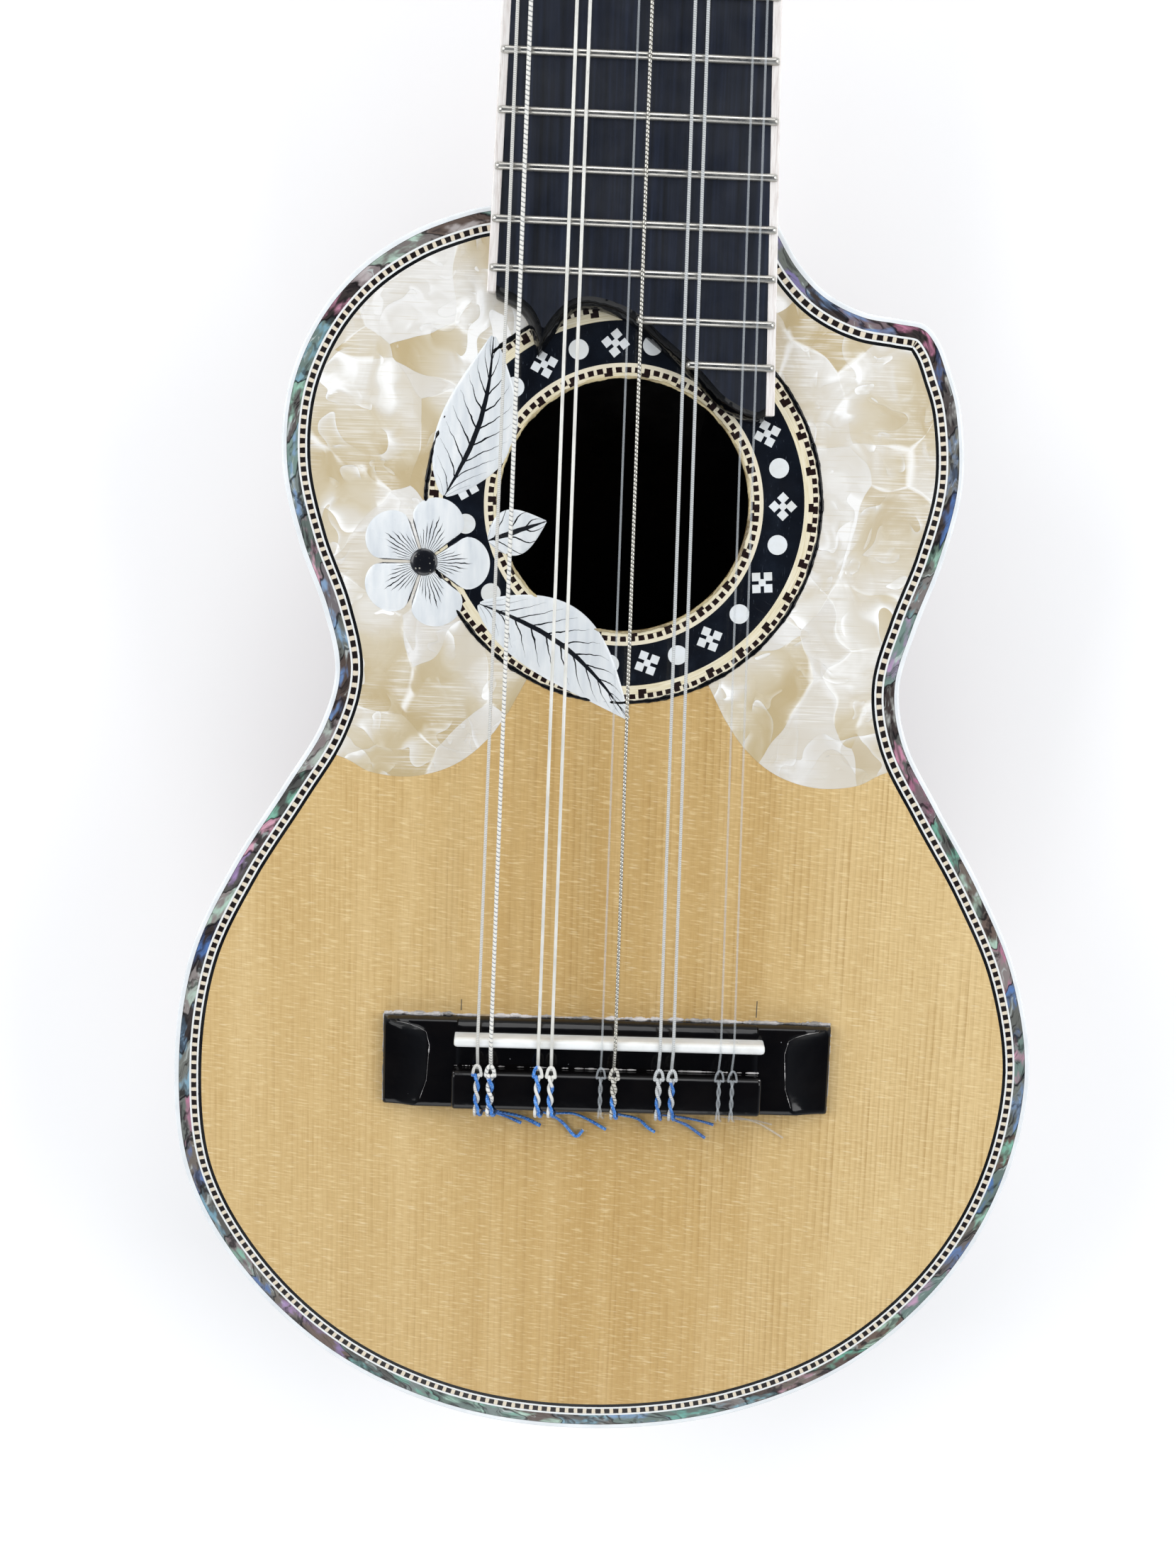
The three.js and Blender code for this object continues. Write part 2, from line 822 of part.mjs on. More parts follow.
function headstock() {
  const rollerBore = boreRadius(rollerRadius, boreSides);
  const pinBore = boreRadius(pinRadius, pinSides);
  const pinEnd = slotInner - pinLength - runningGap;
  const rollerReach = [slotOuter - overrun, 2 * headHalfWidth];
  const pinReach = [pinEnd, slotInner + overrun / 2];
  const bores = postPlaces().flatMap((y) => [-1, 1].flatMap((hand) => [
    rodAcross(rollerBore, hand * rollerReach[0], hand * rollerReach[1], boreSides, y, rollerHeight),
    rodAcross(pinBore, hand * pinReach[0], hand * pinReach[1], pinSides, y, rollerHeight),
  ]));
  return cut(headBoard(veneerThickness, headThickness), bores);
}

// Tuner plate screwed to the side of the head, with two lugs for each worm
function tunerPlate(hand) {
  const start = firstPost - plateMargin - rollerRadius;
  const end = lastPost + wormOffset + plateMargin;
  const base = acrossSlab(
    rectangle([start, end], [rollerHeight - plateHeight / 2, rollerHeight + plateHeight / 2]),
    hand * headHalfWidth,
    hand * plateFace,
  );
  const lugs = postPlaces().flatMap((y) => [-1, 1].map((face) => {
    const near = rollerHeight + face * lugStart;
    const far = near + face * lugThickness;
    const reach = hand * (wormAcross + wormCoreRadius + runningGap + lugWall);
    const inner = hand * headHalfWidth;
    return block(
      [Math.min(inner, reach), Math.max(inner, reach)],
      [y + wormOffset - lugWidth / 2, y + wormOffset + lugWidth / 2],
      [Math.min(near, far), Math.max(near, far)],
    );
  }));
  const rollerBore = boreRadius(rollerRadius, boreSides);
  const wormBore = boreRadius(wormCoreRadius, pinSides);
  const boreEnds = [headHalfWidth - overrun, plateFace + overrun / 4];
  const reach = 2 * lugStart;
  const bores = postPlaces().flatMap((y) => [
    rodAcross(rollerBore, hand * boreEnds[0], hand * boreEnds[1], boreSides, y, rollerHeight),
    slab(
      circle(hand * wormAcross, y + wormOffset, wormBore, pinSides),
      rollerHeight - reach,
      rollerHeight + reach,
    ),
  ]);
  return cut(join([base, ...lugs]), bores);
}

// String post: a roller with its worm wheel outside the plate and a pin in the middle bar
function tunerPost(hand) {
  const wheel = Array.from({ length: 2 * wheelTeeth }, (_, i) => {
    const angle = (Math.PI * i) / wheelTeeth;
    const radius = i % 2 === 0 ? wheelRootRadius : wheelTipRadius;
    return new THREE.Vector2(radius * Math.cos(angle), radius * Math.sin(angle));
  });
  const rollerEnd = slotInner + runningGap;
  return join([
    acrossSlab(wheel, hand * wheelInner, hand * (wheelInner + wheelThickness)),
    rodAcross(rollerRadius, hand * rollerEnd, hand * (wheelInner + wheelThickness / 2), rollerSides),
    rodAcross(pinRadius, hand * (slotInner - pinLength), hand * (rollerEnd + pinLength / 2), pinSides),
  ]);
}

// Tuner button: worm, shaft and finger button in one, turning about its own upright axis
function tunerButton() {
  const bite = 0.3 * wormCoreRadius;
  const count = Math.round(wormTurns * wormSteps);
  const thread = Array.from({ length: count + 1 }, (_, i) => {
    const turn = i / wormSteps - wormTurns / 2;
    const angle = 2 * Math.PI * turn;
    const spot = (radius, up) => new THREE.Vector3(
      radius * Math.sin(angle),
      -radius * Math.cos(angle),
      turn * wormPitch + up,
    );
    return [
      spot(wormCoreRadius - bite, -threadRootHalfWidth),
      spot(wormRadius, -threadTipHalfWidth),
      spot(wormRadius, threadTipHalfWidth),
      spot(wormCoreRadius - bite, threadRootHalfWidth),
    ];
  });
  const profile = buttonShares.map(([across, along]) => new THREE.Vector2(
    across * buttonRadius,
    along * buttonLength,
  ));
  const button = new THREE.LatheGeometry(profile, buttonSides)
    .rotateX(-Math.PI / 2)
    .scale(buttonFlatShare, 1, 1)
    .translate(0, 0, -buttonTop);
  const shaft = slab(circle(0, 0, wormCoreRadius, pinSides), -buttonTop - buttonLength / 2, shaftTop);
  return join([loft(thread), shaft, button]);
}

// Strings
function stringAcross(string, pairSpacing, pairWidth) {
  const pair = Math.floor(string / stringsPerPair) - (pairCount - 1) / 2;
  const side = (string % stringsPerPair) - (stringsPerPair - 1) / 2;
  const drift = pair === 0 ? middlePairDrift : 0;
  return pair * pairSpacing + side * pairWidth + drift;
}

function saddleAcross(string) {
  return stringAcross(string, pairSpacingAtSaddle, pairWidthAtSaddle);
}

function nutAcross(string) {
  return stringAcross(string, pairSpacingAtNut, pairWidthAtNut);
}

function postOf(string) {
  const onLeft = string < postsPerSide;
  const order = onLeft ? string : stringCount - 1 - string;
  return { hand: onLeft ? -1 : 1, y: firstPost + order * postPitch };
}

// Winding on a post, from the point where the string meets it, in the frame of the head
function windingPoints(string, nutPoint) {
  const radius = stringRadii[string];
  const reach = rollerRadius + seatGap + radius;
  const post = postOf(string);
  const pitch = 2 * radius + leastSelfGap;
  const near = nutPoint.clone().applyMatrix4(head.matrix.clone().invert());
  const away = new THREE.Vector2(near.y - post.y, near.z - rollerHeight);
  const meet = Math.atan2(away.x, away.y) + Math.acos(reach / away.length());
  const count = Math.round(windingTurns * windingSteps);
  const start = windingPlace + (windingTurns / 2) * pitch;
  return Array.from({ length: count + 1 }, (_, i) => {
    const turn = i / windingSteps;
    const angle = meet + 2 * Math.PI * turn;
    return new THREE.Vector3(
      post.hand * (start - turn * pitch),
      post.y + reach * Math.sin(angle),
      rollerHeight + reach * Math.cos(angle),
    ).applyMatrix4(head.matrix);
  });
}

// Knot at the bridge: through the block, back over its top, twisted on itself, then the tail behind
function tiePoints(string) {
  const radius = stringRadii[string];
  const x = saddleAcross(string);
  const orbit = radius + leastSelfGap / 2;
  const level = tieBlockTop + seatGap + radius + orbit;
  const front = tieBlockFront + orbit;
  const back = tieBlockBack + tieBend;
  const count = tieTwists * tieSteps;
  const strand = (phase) => Array.from({ length: count + 1 }, (_, i) => {
    const angle = phase + (2 * Math.PI * tieTwists * i) / count;
    const y = THREE.MathUtils.lerp(-tieBlockBack + orbit, -front, i / count);
    return new THREE.Vector3(x + orbit * Math.cos(angle), y, level + orbit * Math.sin(angle));
  });
  const rest = seatGap + radius;
  const loopReach = 1.6;
  const loopFront = loopReach * orbit + radius - front;
  const loop = [
    new THREE.Vector3(x - orbit * Math.SQRT1_2, loopFront, level),
    new THREE.Vector3(x + orbit * Math.SQRT1_2, loopFront, level),
  ];
  return [
    new THREE.Vector3(x, -tieBlockFront, tieHoleHeight),
    new THREE.Vector3(x, -tieBlockBack - tieBend / 2, tieHoleHeight),
    new THREE.Vector3(x - orbit / 2, -back - tieBend / 2, (tieHoleHeight + level) / 2),
    ...strand(Math.PI),
    ...loop,
    ...strand(0).reverse(),
    new THREE.Vector3(x + 2 * orbit, -back - tieBend, (tieHoleHeight + level) / 2),
    new THREE.Vector3(x + 2 * orbit, -bridgeBack - tailDrop + radius, rest + tieBend),
    new THREE.Vector3(x + tieBend + 2 * orbit, -bridgeBack - tailDrop, rest),
    new THREE.Vector3(x + tailSide, -bridgeBack - tailLength, rest),
  ];
}

function stringPath(string) {
  const radius = stringRadii[string];
  const nutHeight = nutSlotFloor + seatGap + radius;
  const saddleHeight = saddleTop + seatGap + radius;
  const bendRoom = 2 * seatGap;
  const nutX = nutAcross(string);
  const saddleX = saddleAcross(string);
  const nutPoint = new THREE.Vector3(nutX, nutBack + bendRoom, nutHeight);
  return [
    ...windingPoints(string, nutPoint).reverse(),
    nutPoint,
    new THREE.Vector3(nutX, scaleLength - bendRoom, nutHeight),
    new THREE.Vector3(saddleX, saddleThickness / 2 + bendRoom, saddleHeight),
    new THREE.Vector3(saddleX, -saddleThickness / 2 - bendRoom, saddleHeight),
    ...tiePoints(string),
  ];
}

// Least gap between stretches of one string that lie further apart along it than a few diameters
function selfGap(points, radius) {
  const path = new THREE.CurvePath();
  points.slice(1).forEach((point, i) => path.add(new THREE.LineCurve3(points[i], point)));
  const lengths = path.getCurveLengths();
  const farDiameters = 4;
  const apart = 2 * farDiameters * radius;
  let least = Infinity;
  points.forEach((point, i) => {
    points.slice(i + 1).forEach((other, j) => {
      const along = (lengths[i + j] ?? 0) - (i > 0 ? lengths[i - 1] : 0);
      if (along > apart) {
        least = Math.min(least, point.distanceTo(other) - 2 * radius);
      }
    });
  });
  return least;
}

function stringSolid(string) {
  const points = stringPath(string);
  const gap = selfGap(points, stringRadii[string]);
  console.log(`string ${string + 1} keeps ${gap.toFixed(2)} mm to itself`);
  return tube(points, stringRadii[string], stringSides);
}

function nut() {
  const width = boardWidthAtNut / 2;
  const blank = block([-width, width], [scaleLength, nutBack], [0, nutSlotFloor + nutLip]);
  const slots = stringRadii.map((radius, string) => block(
    [nutAcross(string) - radius - seatGap, nutAcross(string) + radius + seatGap],
    [scaleLength - overrun, nutBack + overrun],
    [nutSlotFloor, nutSlotFloor + overrun],
  ));
  return cut(blank, slots);
}

function saddle() {
  return block(
    [-saddleLength / 2, saddleLength / 2],
    [-saddleThickness / 2, saddleThickness / 2],
    [bridgeHeight - saddleSlotDepth, saddleTop],
  );
}

function bridge() {
  const wing = bridgeWingShare * bridgeHalfLength;
  const right = [[bridgeHalfLength, 0], [bridgeHalfLength, bridgeTipHeight], [wing, bridgeHeight]];
  const profile = [...right, ...right.map(([x, z]) => [-x, z]).reverse()];
  const base = alongSlab(profile.map(([x, z]) => new THREE.Vector2(x, z)), -bridgeBack, bridgeFront);
  const tie = block(
    [-tieBlockHalfLength, tieBlockHalfLength],
    [-tieBlockBack, -tieBlockFront],
    [bridgeHeight / 2, tieBlockTop],
  );
  const slot = block(
    [-saddleLength / 2 - seatGap, saddleLength / 2 + seatGap],
    [-saddleThickness / 2 - seatGap, saddleThickness / 2 + seatGap],
    [bridgeHeight - saddleSlotDepth, bridgeHeight + overrun],
  );
  const holes = stringRadii.map((radius, string) => alongSlab(
    circle(saddleAcross(string), tieHoleHeight, boreRadius(radius, pinSides), pinSides),
    -bridgeBack - overrun,
    -tieBlockFront + overrun / 4,
  ));
  return cut(join([base, tie]), [slot, ...holes]);
}

// Assembly
const finishes = {
  bowl: { color: 0x6b3f22, roughness: 0.35, metalness: 0 },
  spruce: { color: 0xd9a85c, roughness: 0.4, metalness: 0 },
  ebony: { color: 0x16161c, roughness: 0.35, metalness: 0 },
  bone: { color: 0xf1ece0, roughness: 0.4, metalness: 0 },
  shell: { color: 0x4d5f5c, roughness: 0.2, metalness: 0.1 },
  pearl: { color: 0xe9e4d6, roughness: 0.25, metalness: 0 },
  inlay: { color: 0x2a2622, roughness: 0.4, metalness: 0 },
  silver: { color: 0xc9c9c6, roughness: 0.3, metalness: 1 },
  brass: { color: 0xc29a4a, roughness: 0.35, metalness: 1 },
  nylon: { color: 0xe8e8e4, roughness: 0.3, metalness: 0 },
};

const charango = new THREE.Group();

function add(parent, name, geometry, finish) {
  geometry.computeVertexNormals();
  const mesh = new THREE.Mesh(geometry, new THREE.MeshStandardMaterial(finishes[finish]));
  mesh.name = name;
  parent.add(mesh);
  return mesh;
}

add(charango, "bowl_back", bowlBack(), "bowl");
add(charango, "neck", neck(), "bowl");
add(charango, "soundboard", soundboard(), "spruce");
add(charango, "edge_binding", edgeBand(bandStarts[0], bindingWidth, -soundboardThickness), "bone");
add(charango, "abalone_band", edgeBand(bandStarts[1], abaloneWidth, -inlayDepth), "shell");
add(charango, "purfling_band", edgeBand(bandStarts[2], purflingWidth, -inlayDepth), "inlay");
add(charango, "rosette", rosette(), "inlay");
add(charango, "pearl_plate_left", pearlPlate(-1), "pearl");
add(charango, "pearl_plate_right", pearlPlate(1), "pearl");
add(charango, "spray_flower", flower(), "bone");
const sprayPieces = [
  ["spray_leaf_upper", upperLeafAngle, upperLeafShare * holeFromJoint, leafHalfWidth, -leafHalfWidth / 3],
  ["spray_leaf_lower", lowerLeafAngle, lowerLeafLength, leafHalfWidth, leafHalfWidth / 2],
  ["spray_bud", budAngle, budLength, budHalfWidth, 0],
];
sprayPieces.forEach(([name, angle, length, halfWidth, bend]) => {
  add(charango, name, leaf(...sprayFoot(angle), length, halfWidth, bend), "bone");
});
add(charango, "fingerboard", fingerboard(), "ebony");
add(charango, "frets_and_side_strips", frets(), "silver");
add(charango, "nut", nut(), "bone");
add(charango, "saddle", saddle(), "bone");
add(charango, "bridge", bridge(), "ebony");

const lowerBar = holeFromSaddle - holeRadius - barFromHole;
const upperBar = holeFromSaddle + holeRadius + barFromHole;
const fanLength = fanShare * (lowerBar + saddleToTail);
const fanMiddle = lowerBar - barWidth - fanLength / 2;
add(charango, "brace_upper", crossBar(upperBar), "spruce");
add(charango, "brace_lower", crossBar(lowerBar), "spruce");
for (let fan = 0; fan < fanCount; fan += 1) {
  const place = fan - (fanCount - 1) / 2;
  const splay = Math.atan(place * fanSpread / (2 * fanLength));
  const brace = bar(place * fanSpread, fanMiddle, fanWidth, fanLength, fanDepth, splay);
  add(charango, `brace_fan_${fan + 1}`, brace, "spruce");
}

add(head, "headstock", headstock(), "bowl");
add(head, "head_veneer", headBoard(0, veneerThickness), "ebony");
add(head, "tuner_plate_left", tunerPlate(-1), "brass");
add(head, "tuner_plate_right", tunerPlate(1), "brass");
stringRadii.forEach((_, string) => {
  const { hand, y } = postOf(string);
  add(head, `tuner_post_${string + 1}`, tunerPost(hand), "brass").position.set(0, y, rollerHeight);
  add(head, `tuner_button_${string + 1}`, tunerButton(), "bone").position.set(
    hand * wormAcross,
    y + wormOffset,
    rollerHeight,
  );
});
charango.add(head);
stringRadii.forEach((_, string) => {
  add(charango, `string_${string + 1}`, stringSolid(string), "nylon");
});

// The origin lies under the middle of the whole instrument
charango.updateMatrixWorld(true);
const bounds = new THREE.Box3().setFromObject(charango, true);
const middle = bounds.getCenter(new THREE.Vector3());
charango.position.set(-middle.x, -middle.y, -bounds.min.z);

export default charango;
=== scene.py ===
"""A ten-string charango lying on its back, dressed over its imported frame.

Lengths are in millimetres from the saddle line (y = 0) and the face of the soundboard (z = 0).
They become metres in the row frame when a mesh is made.
"""

from __future__ import annotations

import json
import logging
import math
from collections.abc import Iterable, Sequence
from dataclasses import dataclass, field, replace
from enum import Enum

import bmesh
import bpy
import numpy as np
from mathutils import Matrix, Vector

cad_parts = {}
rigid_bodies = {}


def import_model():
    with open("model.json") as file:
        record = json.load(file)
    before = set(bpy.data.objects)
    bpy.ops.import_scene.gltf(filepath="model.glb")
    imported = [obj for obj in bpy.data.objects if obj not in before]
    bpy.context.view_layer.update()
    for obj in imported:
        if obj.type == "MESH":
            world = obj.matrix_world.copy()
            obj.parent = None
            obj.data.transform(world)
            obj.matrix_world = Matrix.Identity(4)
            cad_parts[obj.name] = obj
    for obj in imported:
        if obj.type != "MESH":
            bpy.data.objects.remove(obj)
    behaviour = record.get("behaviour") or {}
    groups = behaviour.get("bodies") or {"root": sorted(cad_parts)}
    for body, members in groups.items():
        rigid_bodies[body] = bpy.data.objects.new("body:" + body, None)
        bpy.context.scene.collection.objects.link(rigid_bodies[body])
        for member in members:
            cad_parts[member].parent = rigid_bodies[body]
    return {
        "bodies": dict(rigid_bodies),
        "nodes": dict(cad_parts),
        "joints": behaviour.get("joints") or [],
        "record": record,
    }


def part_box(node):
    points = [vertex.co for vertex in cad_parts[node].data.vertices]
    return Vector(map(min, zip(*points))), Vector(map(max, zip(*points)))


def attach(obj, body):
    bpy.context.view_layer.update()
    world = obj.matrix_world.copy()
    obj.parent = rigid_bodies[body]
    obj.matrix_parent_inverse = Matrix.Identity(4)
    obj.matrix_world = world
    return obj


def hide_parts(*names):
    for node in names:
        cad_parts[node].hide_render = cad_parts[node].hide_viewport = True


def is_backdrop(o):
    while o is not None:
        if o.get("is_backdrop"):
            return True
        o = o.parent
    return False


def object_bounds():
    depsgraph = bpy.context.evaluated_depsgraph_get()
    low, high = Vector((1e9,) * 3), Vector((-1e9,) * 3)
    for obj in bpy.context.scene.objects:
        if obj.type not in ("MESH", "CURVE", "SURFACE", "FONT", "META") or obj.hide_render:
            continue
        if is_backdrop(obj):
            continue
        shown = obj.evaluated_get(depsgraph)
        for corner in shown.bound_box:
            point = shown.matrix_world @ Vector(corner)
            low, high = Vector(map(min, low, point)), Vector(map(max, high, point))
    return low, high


log = logging.getLogger("charango")

# Millimetre in metres, and the name of the pattern's own coordinates
MM = 0.001
LAY = "lay"
HEAD_TILT = math.radians(12)
# Distances in metres within which doubled points merge and edges vanish
MERGE_WITHIN = 1.5e-6
LEAST_EDGE = 1e-7
# Steps of a rounded edge, and the least turn of an edge that is rounded
BEVEL_STEPS = 3
BEVEL_FROM = math.radians(40)
# Room between glued parts in millimetres
SEAT = 0.3
Array = np.ndarray


class Side(Enum):
    """Sides of the instrument as seen in the photo."""

    LEFT = -1
    RIGHT = 1

    @property
    def word(self) -> str:
        """The side in small letters."""
        return self.name.lower()


# Shapes


@dataclass
class Shape:
    """Points, faces and the lay of a pattern on them.

    Args:
        points: Places in millimetres, one row each.
        faces: Arrays of point numbers, each array for faces with equally many corners.
        lay: For each array of faces, the (along, across) place in millimetres of every corner.
    """

    points: Array
    faces: list[Array]
    lay: list[Array]

    def placed(self, turn: Array, move: Sequence[float] | Array = (0, 0, 0)) -> Shape:
        """Shape turned by a 3 by 3 matrix and then moved."""
        return Shape(self.points @ np.asarray(turn, float).T + np.asarray(move, float), self.faces, self.lay)


def space(*parts: float | Array) -> Array:
    """Points whose coordinates are the parts, spread to one another's size."""
    return np.stack(np.broadcast_arrays(*parts), -1)


def at_height(flat: Array, height: float | Array) -> Array:
    """Flat points raised to a height."""
    return space(flat[..., 0], flat[..., 1], height)


def arms(angle: Array) -> Array:
    """Flat unit vectors at angles in radians."""
    return space(np.cos(angle), np.sin(angle))


def bearings(steps: int) -> Array:
    """Angles of so many even steps once round."""
    return np.linspace(0, 2 * np.pi, steps, endpoint=False)


def lengths(points: Array, closed: bool = False) -> Array:
    """Length of the way to each point of a line, with the whole length last where it is closed."""
    ends = np.concatenate([points, points[:1]]) if closed else points
    return np.concatenate([[0.0], np.cumsum(np.linalg.norm(np.diff(ends, axis=0), axis=1))])


def grid(
    points: Array, along: Array | None = None, across: Array | None = None, wrap_rows: bool = False,
    wrap_cols: bool = False,
) -> Shape:
    """Surface of two parameters, given by its points.

    Args:
        points: Places by row and column.
        along: Lay of the rows, one more than the rows where they wrap.
        across: Lay of the columns, one more than the columns where they wrap.
        wrap_rows: Whether the last row joins the first.
        wrap_cols: Whether the last column joins the first.

    Returns:
        The surface.
    """
    rows, cols = points.shape[:2]
    spans = np.arange(rows - 1 + wrap_rows), np.arange(cols - 1 + wrap_cols)
    i, j = (number.ravel() for number in np.meshgrid(*spans, indexing="ij"))
    row, col = np.stack([i, i + 1, i + 1, i], 1), np.stack([j, j, j + 1, j + 1], 1)
    along = np.arange(rows + 1.0) if along is None else along
    across = np.arange(cols + 1.0) if across is None else across
    return Shape(points.reshape(-1, 3), [(row % rows) * cols + col % cols], [space(along[row], across[col])])


def join(shapes: Iterable[Shape]) -> Shape:
    """One shape of several.

    Args:
        shapes: The shapes.

    Returns:
        All their points and faces.
    """
    shapes = list(shapes)
    starts = np.cumsum([0] + [len(shape.points) for shape in shapes[:-1]])
    return Shape(
        np.concatenate([shape.points for shape in shapes]),
        [part + start for shape, start in zip(shapes, starts) for part in shape.faces],
        [part for shape in shapes for part in shape.lay],
    )


def plate(top: Array, bottom: Array, along: Array | None = None, across: Array | None = None) -> Shape:
    """Closed plate between two grids of points, with a wall along the edge of both.

    Args:
        top: Places of the upper face by row and column.
        bottom: Places of the lower face, as many.
        along: Lay of the rows.
        across: Lay of the columns.

    Returns:
        The plate.
    """
    rows, cols = top.shape[:2]
    along = np.arange(float(rows)) if along is None else along
    across = np.arange(float(cols)) if across is None else across
    upper, lower = grid(top, along, across), grid(bottom, along, across)
    lower.faces, lower.lay = ([part[:, ::-1] for part in parts] for parts in (lower.faces, lower.lay))
    both = join([upper, lower])
    size = rows * cols
    number = np.arange(size).reshape(rows, cols)
    rim = np.concatenate([number[0, :-1], number[:-1, -1], number[-1, :0:-1], number[:0:-1, 0]])
    after = np.roll(rim, -1)
    wall = np.stack([rim, after, after + size, rim + size], 1)
    spots = space(along[wall % size // cols], across[wall % size % cols])
    return Shape(both.points, [*both.faces, wall], [*both.lay, spots])


def ring(points: Array, along: Array | None = None, across: Array | None = None) -> Shape:
    """Closed ring: a closed section (columns) carried round a closed path (rows)."""
    return grid(points, along, across, wrap_rows=True, wrap_cols=True)


def rod(points: Array, along: Array | None = None, across: Array | None = None) -> Shape:
    """Closed section (columns) carried along an open path (rows), with a flat face at both ends.

    Args:
        points: Places by row and column.
        along: Lay of the rows.
        across: Lay of the columns, one more than the columns.

    Returns:
        The rod.
    """
    rows, cols = points.shape[:2]
    shape = grid(points, along, across, wrap_cols=True)
    ends = np.stack([np.arange(cols)[::-1], np.arange(cols) + (rows - 1) * cols])
    return Shape(shape.points, [*shape.faces, ends], [*shape.lay, np.zeros((2, cols, 2))])


def prism(outline: Array, bottom: float, top: float) -> Shape:
    """Flat outline carried straight up from one height to another."""
    return rod(np.stack([at_height(outline, height) for height in (bottom, top)]))


def tube(
    path: Array, radius: float | Array, sides: int = 12, reference: Sequence[float] = (1, 0, 1)
) -> Shape:
    """Round tube: centre + radius (cos a side + sin a up) for each point of the path and angle a.

    Args:
        path: Points of the path.
        radius: One radius, or one for each point.
        sides: Faces round the tube.
        reference: A direction that the path never takes. The side is its part square to the path.

    Returns:
        The tube, closed at both ends.
    """
    way = np.gradient(path, axis=0)
    way /= np.linalg.norm(way, axis=1, keepdims=True)
    side = np.asarray(reference, float) - (way @ np.asarray(reference, float))[:, None] * way
    side /= np.linalg.norm(side, axis=1, keepdims=True)
    across = arms(bearings(sides)) @ np.stack([side, np.cross(way, side)], 1)
    size = np.broadcast_to(np.asarray(radius, float), len(path))[:, None, None]
    around = np.linspace(0, 2 * np.pi * float(np.mean(size)), sides + 1)
    return rod(path[:, None] + size * across, lengths(path), around)


def turned(profile: Array, steps: int) -> Shape:
    """Profile of (radius, height) turned round the z axis."""
    flat = profile[:, :1, None] * arms(bearings(steps))
    return rod(at_height(flat, profile[:, 1:]), lengths(profile))


def centripetal(points: Array, steps: int) -> Array:
    """Smooth curve through points: a cubic between each two, its slopes from the root of their distances.

    Args:
        points: Places that the curve runs through.
        steps: Spans of the curve, spread evenly over the stretches between the points.

    Returns:
        One place more than the steps.
    """
    points = np.asarray(points, float)
    ends = np.vstack([2 * points[0] - points[1], points, 2 * points[-1] - points[-2]])
    gaps = np.maximum(np.sqrt(np.linalg.norm(np.diff(ends, axis=0), axis=1)), 1e-4)
    place = np.linspace(0, len(points) - 1, steps + 1)
    span = np.minimum(place.astype(int), len(points) - 2)
    t = (place - span)[:, None]
    a, b, c, d = (ends[span + k] for k in range(4))
    before, here, after = (gaps[span + k][:, None] for k in range(3))
    out = ((b - a) / before - (c - a) / (before + here) + (c - b) / here) * here
    into = ((c - b) / here - (d - b) / (here + after) + (d - c) / after) * here
    return b + out * t + (3 * (c - b) - 2 * out - into) * t**2 + (2 * (b - c) + out + into) * t**3


def distance_to(outline: Array, spots: Array) -> Array:
    """Least distance of flat spots from a closed outline: each spot against each side of it.

    Args:
        outline: Flat closed outline.
        spots: Flat points.

    Returns:
        A distance for each spot.
    """
    side = np.roll(outline, -1, axis=0) - outline
    share = ((spots[:, None] - outline) * side).sum(-1) / np.maximum((side**2).sum(-1), 1e-12)
    nearest = outline + np.clip(share, 0, 1)[..., None] * side
    return np.linalg.norm(spots[:, None] - nearest, axis=-1).min(1)


def inset(outline: Array, distance: float) -> Array:
    """Anticlockwise outline moved inwards, with as many points.

    Each point moves along the mitre of its two sides. Where a sharp corner would give a loop, the points
    are spread along the line between their sound neighbours.

    Args:
        outline: Flat closed outline.
        distance: How far it moves, negative for outwards.

    Returns:
        The moved outline.
    """
    if distance == 0:
        return outline
    side = np.roll(outline, -1, axis=0) - outline
    side /= np.linalg.norm(side, axis=1, keepdims=True)
    normal = np.column_stack([-side[:, 1], side[:, 0]])
    before = np.roll(normal, 1, axis=0)
    mitre = (before + normal) / (1 + (before * normal).sum(1, keepdims=True))
    moved = outline + distance * mitre
    sound = distance_to(outline, moved) > 0.985 * abs(distance)
    number = np.arange(len(outline))
    kept = number[sound]
    reach = np.concatenate([kept - len(outline), kept, kept + len(outline)])
    return np.column_stack([np.interp(number, reach, np.tile(moved[sound][:, k], 3)) for k in range(2)])


def polar(outline: Array, centre: Sequence[float] | Array, angle: Array) -> Array:
    """Distance of an outline from a centre that sees all of it, at each angle in radians.

    Args:
        outline: Flat closed outline.
        centre: The centre.
        angle: Directions from it.

    Returns:
        A distance for each angle.
    """
    arm = outline - np.asarray(centre, float)
    turn = np.arctan2(arm[:, 1], arm[:, 0])
    order = np.argsort(turn)
    return np.interp(angle, turn[order], np.linalg.norm(arm, axis=1)[order], period=2 * np.pi)


def spin(axis: str, angle: float) -> Array:
    """Matrix of a turn about the x, y or z axis by an angle in radians."""
    return np.array(Matrix.Rotation(angle, 3, axis))


# Workshop: the frame's sizes, and pieces made from shapes


